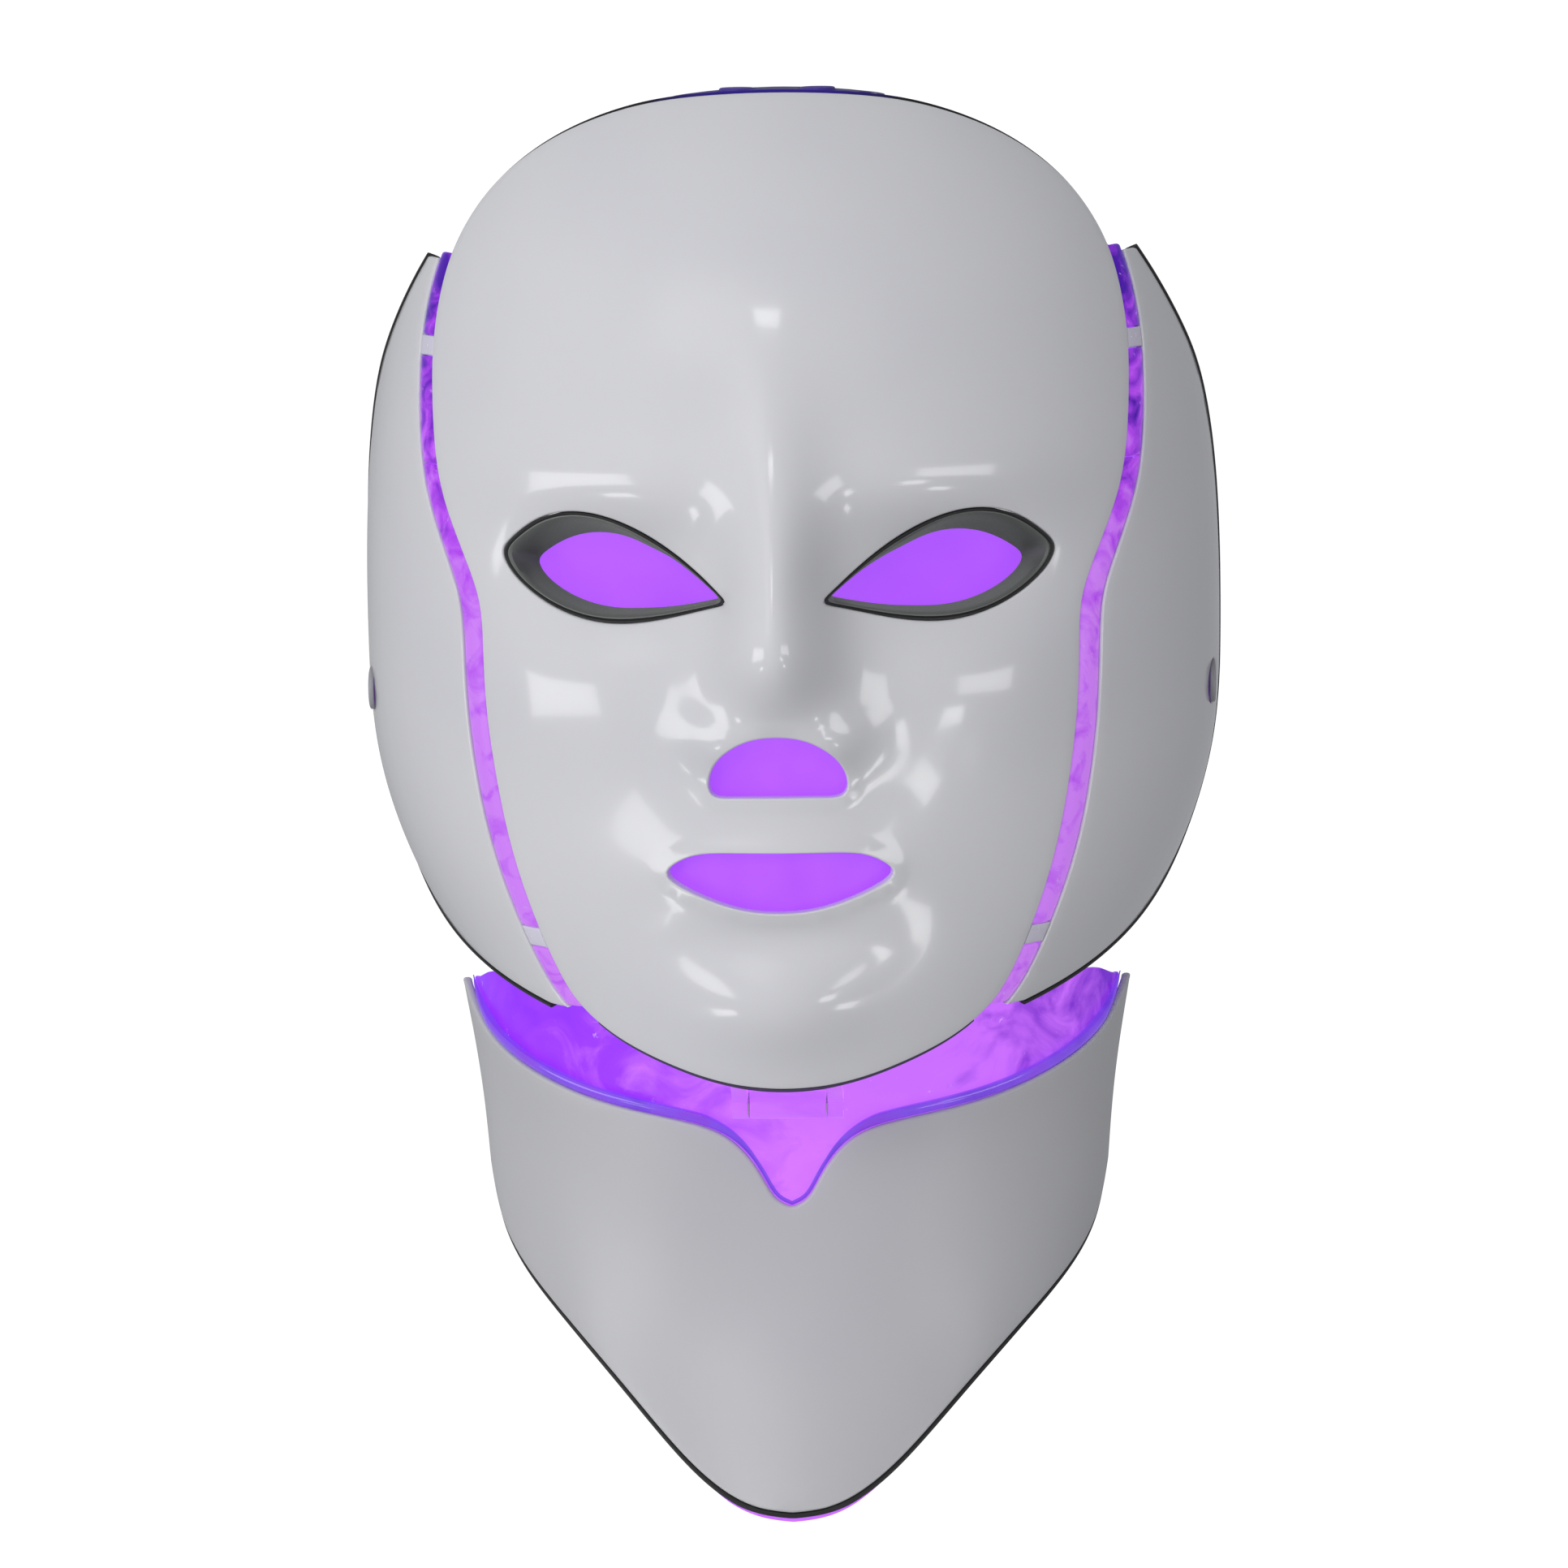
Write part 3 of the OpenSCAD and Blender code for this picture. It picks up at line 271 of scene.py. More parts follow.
def whole(half):
    """A half outline with its two tips and its mirror image."""
    return [CHIN_TIP] + half + [CROWN_TIP] + mirrored(half)


def as_arcs(points):
    """A list of points given by width and height, as arc and height."""
    return [(float(arc_of(x, z)), z) for x, z in points]


CENTRE = anticlockwise(unrolled(smooth_ring(whole(CENTRE_HALF), 400)))
REAR = [(math.radians(turn) * ARC_SCALE, z) for turn, z in REAR_EDGE]
JAW_CORNER = (57, 12.5)
TEMPLE = [(71.6, 188), (66, 197.5), (57, 205.5)]
FULL_HALF = (as_arcs(CENTRE_HALF[:3]) + [JAW_CORNER] + REAR[::-1]
             + as_arcs(TEMPLE + CENTRE_HALF[-3:]))
FULL = anticlockwise(smooth_ring(whole(FULL_HALF), 500))
EYE_RING = anticlockwise(unrolled(smooth_ring(EYE, 160)))
NOSE_RING = anticlockwise(unrolled(smooth_ring(NOSE, 120)))
MOUTH_RING = anticlockwise(unrolled(smooth_ring(MOUTH, 140)))


def flipped(outline):
    """A closed outline's mirror image across the middle."""
    return anticlockwise(outline * [-1, 1])


# ---- mesh making ---------------------------------------------------------------
SHARP = math.radians(42)


def added(name, data):
    """A new object in the scene."""
    made = bpy.data.objects.new(name, data)
    bpy.context.scene.collection.objects.link(made)
    return made


def mounted(name, mesh, body, replaced, material):
    """A mesh as a piece that rides on a body in place of CAD nodes."""
    mesh.shade_smooth()
    mesh.set_sharp_from_angle(angle=SHARP)
    mesh.materials.append(material)
    made = added(name, mesh)
    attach(made, body)
    for node in replaced:
        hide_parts(node)
    return made


def piece(name, points, faces, body, replaced, material):
    """A Blender object from points in millimetres, riding on a body."""
    mesh = bpy.data.meshes.new(name)
    mesh.from_pydata([tuple(p) for p in np.asarray(points) * MM], [], faces)
    mesh.validate()
    return mounted(name, mesh, body, replaced, material)


ROW_STEP = 0.866  # rows of even triangles stand this share of their side apart
KEEP_OFF = 0.75   # share of the spacing that grid points keep from an outline


def fill(outer, holes, spacing):
    """Points and triangles that fill an outline round its holes, with an even grid inside."""
    loops = [outer] + holes
    low, high = outer.min(0), outer.max(0)
    rows = np.arange(low[1], high[1], spacing * ROW_STEP)
    grid = []
    for i, z in enumerate(rows):
        u = np.arange(low[0], high[0], spacing) + (spacing / 2 if i % 2 else 0)
        grid.append(np.stack([u, np.full_like(u, z)], -1))
    grid = np.vstack(grid)
    keep = inside(grid, outer)
    for hole in holes:
        keep &= ~inside(grid, hole)
    grid = grid[keep]
    for loop in loops:
        grid = grid[nearest(grid, loop) > KEEP_OFF * spacing]
    points = np.vstack(loops + [grid])
    edges = []
    start = 0
    for loop in loops:
        n = len(loop)
        edges += [(start + i, start + (i + 1) % n) for i in range(n)]
        start += n
    out = delaunay_2d_cdt([Vector(p) for p in points], edges, [], 1, 1e-6)
    flat = np.array([tuple(v) for v in out[0]])
    tris = np.array([f for f in out[2] if len(f) == 3])
    mid = flat[tris].mean(1)
    keep = inside(mid, outer)
    for hole in holes:
        keep &= ~inside(mid, hole)
    tris = tris[keep]
    a, b, c = flat[tris[:, 0]], flat[tris[:, 1]], flat[tris[:, 2]]
    turn = (b[:, 0] - a[:, 0]) * (c[:, 1] - a[:, 1]) - (b[:, 1] - a[:, 1]) * (c[:, 0] - a[:, 0])
    tris[turn < 0] = tris[turn < 0][:, ::-1]
    return flat, tris


def shell(name, at, outer, holes, front, back, spacing, edge_r, body,
          replaced, material, lift=None, edge_steps=4):
    """A shell of even wall with rounded edges; `lift` raises its front face locally."""
    loops = [outer] + holes
    inward = [1] + [-1] * len(holes)
    turn = np.linspace(0, math.pi / 2, edge_steps + 1)
    insets = edge_r * (1 - np.cos(turn))
    drops = edge_r * (1 - np.sin(turn))
    rings = [[shrunk(loop, s * inset) for inset in insets] for loop, s in zip(loops, inward)]
    flat, tris = fill(rings[0][-1], [r[-1] for r in rings[1:]], spacing)

    def raised(points, d):
        return at(points[:, 0], points[:, 1], d - (lift(points) if lift else 0))

    points = [raised(flat, np.full(len(flat), front)), at(flat[:, 0], flat[:, 1], np.full(len(flat), back))]
    faces = [tuple(int(i) for i in t) for t in tris]
    faces += [tuple(int(i) + len(flat) for i in t[::-1]) for t in tris]
    count = 2 * len(flat)
    start = 0
    for ring, s in zip(rings, inward):
        n = len(ring[0])
        here = []
        for k in range(edge_steps):
            points.append(raised(ring[k], np.full(n, front + drops[k])))
            here.append(count + np.arange(n))
            count += n
        here.append(start + np.arange(n))
        rear = []
        for k in range(edge_steps):
            points.append(at(ring[k][:, 0], ring[k][:, 1], np.full(n, back - drops[k])))
            rear.append(count + np.arange(n))
            count += n
        rear.append(start + len(flat) + np.arange(n))
        stack = rear[::-1] + here
        for lower, upper in zip(stack[:-1], stack[1:]):
            for i in range(n):
                j = (i + 1) % n
                quad = (int(lower[i]), int(lower[j]), int(upper[j]), int(upper[i]))
                faces.append(quad if s > 0 else quad[::-1])
        start += n
    return piece(name, np.vstack(points), faces, body, replaced, material)


def sweep(name, sections, body, closed, replaced, material):
    """A skin through sections of equal point counts: a closed loop, or capped at its ends."""
    s = np.asarray(sections)
    n, m = s.shape[:2]
    faces = []
    for i in range(n if closed else n - 1):
        a, b = i * m, ((i + 1) % n) * m
        faces += [(a + j, a + (j + 1) % m, b + (j + 1) % m, b + j) for j in range(m)]
    if not closed:
        faces += [tuple(range(m))[::-1], tuple((n - 1) * m + j for j in range(m))]
    made = piece(name, s.reshape(-1, 3), faces, body, replaced, material)
    outward(made)
    return made


def outward(made):
    """Turns a closed piece's faces outward."""
    bm = bmesh.new()
    bm.from_mesh(made.data)
    bmesh.ops.recalc_face_normals(bm, faces=bm.faces)
    bm.to_mesh(made.data)
    bm.free()


BEAD_SIDES = 12
BEAD_SQUARE = 0.6  # 1 is an ellipse, less is squarer


def bead(name, at, line, side, gap, half, front, back, body, replaced, material, fullness=1.0):
    """A rounded bead beside an edge line, `gap` off it; `fullness` thins it point by point."""
    fullness = fullness * np.ones(len(line))
    ahead = np.gradient(line, axis=0)
    ahead /= np.linalg.norm(ahead, axis=1, keepdims=True)
    out = np.stack([ahead[:, 1], -ahead[:, 0]], -1) * side
    sections = []
    reach_d = (back - front) / 2 * fullness
    mid = back - reach_d
    for turn in turns(BEAD_SIDES):
        c, s = math.cos(turn), math.sin(turn)
        c = math.copysign(abs(c)**BEAD_SQUARE, c)
        s = math.copysign(abs(s)**BEAD_SQUARE, s)
        p = line + out * ((gap + half + half * c) * fullness)[:, None]
        sections.append(at(p[:, 0], p[:, 1], mid + reach_d * s))
    return sweep(name, np.stack(sections, 1), body, False, replaced, material)


def trimmed(made, point, normal):
    """Cuts a closed piece by a plane, drops what lies on the normal's side and closes the cut."""
    bm = bmesh.new()
    bm.from_mesh(made.data)
    bmesh.ops.bisect_plane(bm, geom=bm.verts[:] + bm.edges[:] + bm.faces[:], dist=1e-7,
                           plane_co=Vector(point) * MM, plane_no=normal, clear_outer=True)
    bmesh.ops.holes_fill(bm, edges=[e for e in bm.edges if e.is_boundary], sides=0)
    bm.to_mesh(made.data)
    bm.free()
    made.data.set_sharp_from_angle(angle=SHARP)


ROUNDED_FROM = math.radians(35)  # edges that turn by more than this are rounded
ROUND_STEPS = 3


def softened(node, width, body, material):
    """A copy of a CAD node with its edges rounded, in the node's place."""
    source = frame["nodes"][node]
    bm = bmesh.new()
    bm.from_mesh(source.data)
    bm.transform(source.matrix_world)
    bmesh.ops.remove_doubles(bm, verts=bm.verts, dist=1e-6)
    bmesh.ops.dissolve_limit(bm, angle_limit=math.radians(1), verts=bm.verts, edges=bm.edges)
    sharp = [e for e in bm.edges if len(e.link_faces) == 2 and e.calc_face_angle(0) > ROUNDED_FROM]
    bmesh.ops.bevel(bm, geom=sharp, offset=width * MM, segments=ROUND_STEPS, profile=0.5,
                    affect="EDGES", clamp_overlap=True)
    mesh = bpy.data.meshes.new(f"{node}_soft")
    bm.to_mesh(mesh)
    bm.free()
    mounted(f"{node}_soft", mesh, body, [node], material)


# ---- materials -------------------------------------------------------------------
def new_material(name):
    """A material with its nodes, links and Principled shader."""
    mat = bpy.data.materials.new(name)
    mat.use_nodes = True
    nodes = mat.node_tree.nodes
    return mat, nodes, mat.node_tree.links, nodes["Principled BSDF"]


def noise(nodes, links, scale, detail=3.0, rough=0.5, distortion=0.0):
    """Soft noise fixed to the object."""
    coord = nodes.new("ShaderNodeTexCoord")
    tex = nodes.new("ShaderNodeTexNoise")
    tex.inputs["Scale"].default_value = scale
    tex.inputs["Detail"].default_value = detail
    tex.inputs["Roughness"].default_value = rough
    tex.inputs["Distortion"].default_value = distortion
    links.new(coord.outputs["Object"], tex.inputs["Vector"])
    return tex


def ramp(nodes, links, source, stops):
    """Colours along a value, as (place, colour) stops."""
    made = nodes.new("ShaderNodeValToRGB")
    while len(made.color_ramp.elements) < len(stops):
        made.color_ramp.elements.new(0.5)
    for element, (at, colour) in zip(made.color_ramp.elements, stops):
        element.position = at
        element.color = (*colour, 1)
    links.new(source, made.inputs["Fac"])
    return made


def grey(value):
    return (value, value, value)


def set_sockets(shader, sockets):
    """Constant shader values, with the spaces in their names written as underscores."""
    for socket, value in sockets.items():
        shader.inputs[socket.replace("_", " ")].default_value = value


def plastic(name, low, high, rough, grain=400.0, bump=0.02, rough_spread=0.05, **sockets):
    """A moulded surface: two near colours in soft patches, uneven gloss, fine relief."""
    mat, nodes, links, shader = new_material(name)
    broad = noise(nodes, links, 14.0, 2.0)
    colour = ramp(nodes, links, broad.outputs["Fac"], [(0.35, low), (0.65, high)])
    links.new(colour.outputs["Color"], shader.inputs["Base Color"])
    fine = noise(nodes, links, grain, 3.0)
    gloss = ramp(nodes, links, fine.outputs["Fac"],
                 [(0.3, grey(max(rough - rough_spread, 0.02))), (0.7, grey(rough + rough_spread))])
    links.new(gloss.outputs["Color"], shader.inputs["Roughness"])
    relief_node = nodes.new("ShaderNodeBump")
    relief_node.inputs["Strength"].default_value = bump
    relief_node.inputs["Distance"].default_value = 0.0005
    links.new(fine.outputs["Fac"], relief_node.inputs["Height"])
    links.new(relief_node.outputs["Normal"], shader.inputs["Normal"])
    set_sockets(shader, sockets)
    return mat


BODY_SHARE = 0.3  # a lit surface's own colour against the light it gives off


def glowing(name, stops, strength, scale=70.0, detail=4.0, distortion=0.6, rough=0.3,
            speck=None, axis=None, axis_span=(-0.08, 0.08), axis_share=0.6, **sockets):
    """A lit translucent surface: mottled violets, brighter flecks and a drift along an axis.

    `speck` is (scale, first place, last place, colour) of the flecks.
    """
    mat, nodes, links, shader = new_material(name)
    cloud = noise(nodes, links, scale, detail, 0.55, distortion)
    source = cloud.outputs["Fac"]
    if axis is not None:
        coord = nodes.new("ShaderNodeTexCoord")
        split = nodes.new("ShaderNodeSeparateXYZ")
        links.new(coord.outputs["Object"], split.inputs["Vector"])
        drift = nodes.new("ShaderNodeMapRange")
        drift.inputs["From Min"].default_value = axis_span[0]
        drift.inputs["From Max"].default_value = axis_span[1]
        links.new(split.outputs["XYZ".index(axis)], drift.inputs["Value"])
        both = nodes.new("ShaderNodeMix")
        both.inputs["Factor"].default_value = axis_share
        links.new(source, both.inputs["A"])
        links.new(drift.outputs["Result"], both.inputs["B"])
        source = both.outputs["Result"]
    colour = ramp(nodes, links, source, stops)
    body = ramp(nodes, links, source, [(at, [BODY_SHARE * c for c in tint]) for at, tint in stops])
    out = colour.outputs["Color"]
    if speck is not None:
        grit = noise(nodes, links, speck[0], 5.0, 0.7, 0.4)
        mask = ramp(nodes, links, grit.outputs["Fac"], [(speck[1], grey(0)), (speck[2], grey(1))])
        mixed = nodes.new("ShaderNodeMix")  # its colour sockets go by number: 0 factor, 6 and 7 colours
        mixed.data_type = "RGBA"
        links.new(mask.outputs["Color"], mixed.inputs[0])
        links.new(out, mixed.inputs[6])
        mixed.inputs[7].default_value = (*speck[3], 1)
        out = mixed.outputs[2]
    links.new(out, shader.inputs["Emission Color"])
    links.new(body.outputs["Color"], shader.inputs["Base Color"])
    shader.inputs["Emission Strength"].default_value = strength
    shader.inputs["Roughness"].default_value = rough
    set_sockets(shader, sockets)
    return mat


INDIGO = (0.07, 0.008, 0.40)
VIOLET = (0.24, 0.030, 0.66)
ORCHID = (0.47, 0.075, 0.90)
PINK = (0.62, 0.22, 0.94)

white_gloss = plastic("white_gloss", (0.56, 0.56, 0.585), (0.59, 0.59, 0.605), 0.16, 900.0, 0.008,
                      0.02, Coat_Weight=0.45, Coat_Roughness=0.06, IOR=1.5)
# The neck shell's white: rougher than white_gloss, with its base colour darkened as painted shade.
neck_white_shaded = plastic("neck_white_shaded", (0.435, 0.435, 0.45), (0.46, 0.46, 0.47), 0.34, 900.0, 0.008,
                     0.03, Coat_Weight=0.08, Coat_Roughness=0.25, IOR=1.45)
strip_glow = glowing("strip_glow", [(0.33, INDIGO), (0.43, VIOLET), (0.53, ORCHID), (0.68, PINK)], 0.66,
                     110.0, 6.0, 1.6, 0.3, speck=(420.0, 0.64, 0.72, (0.60, 0.38, 0.9)), axis="Z",
                     axis_span=(0.195, 0.085), axis_share=0.36, Coat_Weight=0.04, Specular_IOR_Level=0.15)
liner_glow = glowing("liner_glow", [(0.3, (0.38, 0.075, 0.88)), (0.7, (0.44, 0.10, 0.95))], 0.92, 40.0, 2.0,
                     0.2, 0.4, Specular_IOR_Level=0.3)
# The neck's light guide: violets that drift along X; the dark indigo stop at the far +X end is painted shade
# on the collar's inner side.
collar_glow = glowing("collar_glow", [(0.2, (0.26, 0.025, 0.86)), (0.34, (0.32, 0.04, 0.98)),
                                      (0.5, (0.62, 0.17, 1.0)), (0.66, (0.58, 0.15, 0.98)),
                                      (0.8, (0.16, 0.012, 0.58))],
                      0.85, 60.0, 6.0, 1.4, 0.35, axis="X", axis_share=0.62,
                      speck=(300.0, 0.66, 0.76, (0.74, 0.46, 0.98)), Coat_Weight=0.05,
                      Specular_IOR_Level=0.2)
bead_glow = glowing("bead_glow", [(0.3, (0.13, 0.035, 0.62)), (0.55, (0.2, 0.06, 0.75)), (0.8, VIOLET)],
                    0.8, 60.0, 3.0, 0.5, 0.18, Coat_Weight=0.6)
lens_glow = glowing("lens_glow", [(0.3, (0.40, 0.085, 0.95)), (0.7, (0.44, 0.10, 1.0))], 0.9, 30.0, 2.0, 0.2,
                    0.45, Specular_IOR_Level=0.15)
milky_clip = plastic("milky_clip", (0.62, 0.60, 0.70), (0.70, 0.68, 0.76), 0.25, 700.0, 0.02, 0.03,
                     Transmission_Weight=0.15, IOR=1.45)
black_rubber = plastic("black_rubber", grey(0.008), grey(0.014), 0.42, 1500.0, 0.05)
# The chin seal's purple-grey in place of black is painted shade: the soft shadow under the chin.
shade_tinted_rubber = plastic("shade_tinted_rubber", (0.045, 0.03, 0.075), (0.065, 0.045, 0.10), 0.6, 1500.0, 0.05)
# The top seal: black at both ends, with a painted navy sheen across its middle along X that it gives off as
# glow.
PAINTED_SHEEN_NAVY = (0.02, 0.003, 0.25)
sheen_painted_rubber = glowing("sheen_painted_rubber", [(0.32, grey(0.004)), (0.42, PAINTED_SHEEN_NAVY), (0.58, PAINTED_SHEEN_NAVY), (0.68, grey(0.004))],
                     0.5, 60.0, 2.0, 0.2, 0.42, axis="X", axis_share=1.0, Specular_IOR_Level=0.3)
cup_rubber = plastic("cup_rubber", (0.10, 0.104, 0.10), (0.15, 0.155, 0.15), 0.38, 1800.0, 0.04, 0.05,
                     Specular_IOR_Level=0.3)
cover_film = plastic("cover_film", (0.72, 0.62, 0.95), (0.80, 0.72, 0.97), 0.22, 600.0, 0.03, 0.04,
                     Transmission_Weight=0.8, IOR=1.42)

# ---- camera ----------------------------------------------------------------------
def degrees(*angles):
    return [math.radians(a) for a in angles]


def direction(turn, rise):
    """Toward a viewer or a light: turn 0 is in front of the face, positive toward +X."""
    return Vector((math.sin(turn) * math.cos(rise), -math.cos(turn) * math.cos(rise), math.sin(rise)))


VIEW_TURN, VIEW_RISE, VIEW_ROLL = degrees(2.5, 10.0, -0.9)
VIEW_DISTANCE = 1.25
VIEW_WIDTH = 0.3565  # width of the view at the target
target = Vector((-0.0007, -0.050, 0.062))
back = direction(VIEW_TURN, VIEW_RISE)
lens = bpy.data.cameras.new("camera")
lens.sensor_width = 36.0
lens.lens = lens.sensor_width * VIEW_DISTANCE / VIEW_WIDTH
camera = added("camera", lens)
camera.location = target + back * VIEW_DISTANCE
camera.rotation_mode = "QUATERNION"
camera.rotation_quaternion = back.to_track_quat("Z", "Y")
camera.rotation_mode = "XYZ"
camera.rotation_euler.rotate_axis("Z", VIEW_ROLL)
bpy.context.scene.camera = camera

# ---- stage and light ---------------------------------------------------------------
bpy.context.scene.view_settings.view_transform = "Standard"
FLOOR_HALF = 60.0
FLOOR_DROP = 0.6
COVE_HALF = 8.0
COVE_SUNK = 0.5  # how far the walls reach below the floor
CORNERS = ((-1, -1), (1, -1), (1, 1), (-1, 1))
floor_z = cad_bounds[0][2] - FLOOR_DROP


def pale_paint():
    """The floor's and walls' even white."""
    mat, _, _, shader = new_material("floor_paint")
    shader.inputs["Base Color"].default_value = (0.12, 0.12, 0.12, 1)
    shader.inputs["Roughness"].default_value = 0.9
    shader.inputs["Emission Color"].default_value = (1, 1, 1, 1)
    shader.inputs["Emission Strength"].default_value = 0.98
    return mat


def staged(name, points, faces, paint):
    """A part of the stage, which neither lights the object nor shows in its gloss."""
    mesh = bpy.data.meshes.new(name)
    mesh.from_pydata(points, [], faces)
    mesh.materials.append(paint)
    made = added(name, mesh)
    made.visible_diffuse = False
    made.visible_glossy = False
    return made


floor_paint = pale_paint()
staged("floor", [(x * FLOOR_HALF, y * FLOOR_HALF, floor_z) for x, y in CORNERS], [(0, 1, 2, 3)], floor_paint)
cove = staged("cove", [(x * COVE_HALF, y * COVE_HALF, z)  # walls that carry the floor's white upward
                       for z in (floor_z - COVE_SUNK, floor_z + COVE_HALF) for x, y in CORNERS],
              [(i, (i + 1) % 4, (i + 1) % 4 + 4, i + 4) for i in range(4)], floor_paint)
cove.visible_shadow = False

BRIGHT_SIDE = (-0.75, -0.45, 0.48)  # where the soft room light comes from
ROOM_DARK, ROOM_BRIGHT = 0.34, 0.56


def soft_room():
    """Room light from all round, brighter toward one side."""
    world = bpy.data.worlds.new("studio")
    world.use_nodes = True
    room = world.node_tree
    toward_sky = room.nodes.new("ShaderNodeTexCoord")
    facing = room.nodes.new("ShaderNodeVectorMath")
    facing.operation = "DOT_PRODUCT"
    facing.inputs[1].default_value = BRIGHT_SIDE
    room.links.new(toward_sky.outputs["Generated"], facing.inputs[0])
    level = room.nodes.new("ShaderNodeMapRange")
    level.inputs["From Min"].default_value = -1.0
    level.inputs["From Max"].default_value = 1.0
    level.inputs["To Min"].default_value = ROOM_DARK
    level.inputs["To Max"].default_value = ROOM_BRIGHT
    room.links.new(facing.outputs["Value"], level.inputs["Value"])
    room.nodes["Background"].inputs["Color"].default_value = (0.95, 0.96, 1.0, 1)
    room.links.new(level.outputs["Result"], room.nodes["Background"].inputs["Strength"])
    return world


bpy.context.scene.world = soft_room()
LIGHT_AIM = Vector((0, -0.05, 0.09))


def softbox(name, turn, rise, distance, width, height, power, mirrored_in_gloss=True):
    """A rectangular area light toward `direction`, in degrees, metres and watts."""
    away = direction(*degrees(turn, rise))
    light = bpy.data.lights.new(name, "AREA")
    light.shape = "RECTANGLE"
    light.size, light.size_y = width, height
    light.energy = power
    made = added(name, light)
    made.location = LIGHT_AIM + away * distance
    made.rotation_mode = "QUATERNION"
    made.rotation_quaternion = away.to_track_quat("Z", "Y")
    made.visible_glossy = mirrored_in_gloss


softbox("key_light", -25, 25, 2.5, 1.2, 1.2, 30, False)
softbox("left_light", -58, -11, 1.3, 0.80, 0.36, 2.6)
softbox("right_light", 48, -5, 1.3, 0.60, 0.26, 1.4)
softbox("left_chin_light", -50, -34, 1.3, 0.20, 0.12, 0.34)
softbox("right_chin_light", 46, -30, 1.3, 0.13, 0.11, 0.24)
softbox("cheek_light", 35, -19, 1.3, 0.17, 0.13, 0.34)
softbox("brow_light", -4, 29.5, 1.4, 0.20, 0.09, 0.32)

# ---- the outer shells ----------------------------------------------------------------
SHELL_WALL = 2.2
GAP = 6.8
LIP_HEIGHT = 0.8
LIP_REACH = 2.4
EYES = [EYE_RING, flipped(EYE_RING)]


def lips(points):
    """Raised rims round the nose and mouth openings."""
    rise = np.zeros(len(points))
    for ring in (NOSE_RING, MOUTH_RING):
        rise += LIP_HEIGHT * np.exp(-(nearest(points, ring) / LIP_REACH)**2)
    return rise


OUTLINE_STEP = 1.2
shell("face_shell_skin", face_at, even(CENTRE, OUTLINE_STEP),
      [even(ring, 0.8) for ring in EYES + [NOSE_RING, MOUTH_RING]],
      front=0, back=SHELL_WALL, spacing=2.0, edge_r=0.5, body="mask",
      replaced=["face_shell"], material=white_gloss, lift=lips)

centre_side = CENTRE[(CENTRE[:, 0] > 0) & (CENTRE[:, 1] > 8) & (CENTRE[:, 1] < 200)]
centre_side = centre_side[np.argsort(centre_side[:, 1])]
rear_line = smooth_line(REAR, 120)[::-1]
CHEEK_BOTTOM, CHEEK_TOP = 14.8, 182
CHEEK_TIP = 2.4


def side_arc(z):
    """Arc of the centre shell's side edge at a height."""
    return np.interp(z, centre_side[:, 1], centre_side[:, 0])


def rear_arc(z):
    """Arc of a cheek shell's rear edge at a height."""
    return np.maximum(np.interp(z, rear_line[:, 1], rear_line[:, 0]), side_arc(z) + GAP + CHEEK_TIP)


heights = np.linspace(CHEEK_BOTTOM, CHEEK_TOP, 160)
CHEEK = anticlockwise(np.vstack([
    np.stack([side_arc(heights) + GAP, heights], -1),
    np.stack([rear_arc(heights), heights], -1)[::-1]]))


def on_side(outline, s):
    """A left outline as it is for s = 1, and mirrored for s = -1."""
    return outline if s > 0 else flipped(outline)


SIDES = {"left": 1, "right": -1}
STRIP_FRONT, STRIP_BACK = 0.6, 3.0
STRIP_BOTTOM, STRIP_TOP = 15.5, 183.5
STRIP_MARGIN = 0.06
STRIP_DOME = 0.7
STRIP_JOIN, JOIN_HALF = 137, 0.12
CLIP_HEIGHTS = (31, 163)
CLIP_HALF = 2.2
CLIP_GAP = 0.2
CLIP_PROUD = 0.4


def band(z0, z1, margin):
    """The gap between the shells from one height to another, less a margin at its sides."""
    h = np.linspace(z0, z1, max(3, int(z1 - z0)))
    return anticlockwise(np.vstack([
        np.stack([side_arc(h) + margin, h], -1),
        np.stack([side_arc(h) + GAP - margin, h], -1)[::-1]]))


def domed(points):
    """Raises a strip's middle line above its two edges."""
    u = np.abs(points[:, 0]) - side_arc(points[:, 1]) - GAP / 2
    return STRIP_DOME * (1 - np.clip(2 * u / GAP, -1, 1)**2)


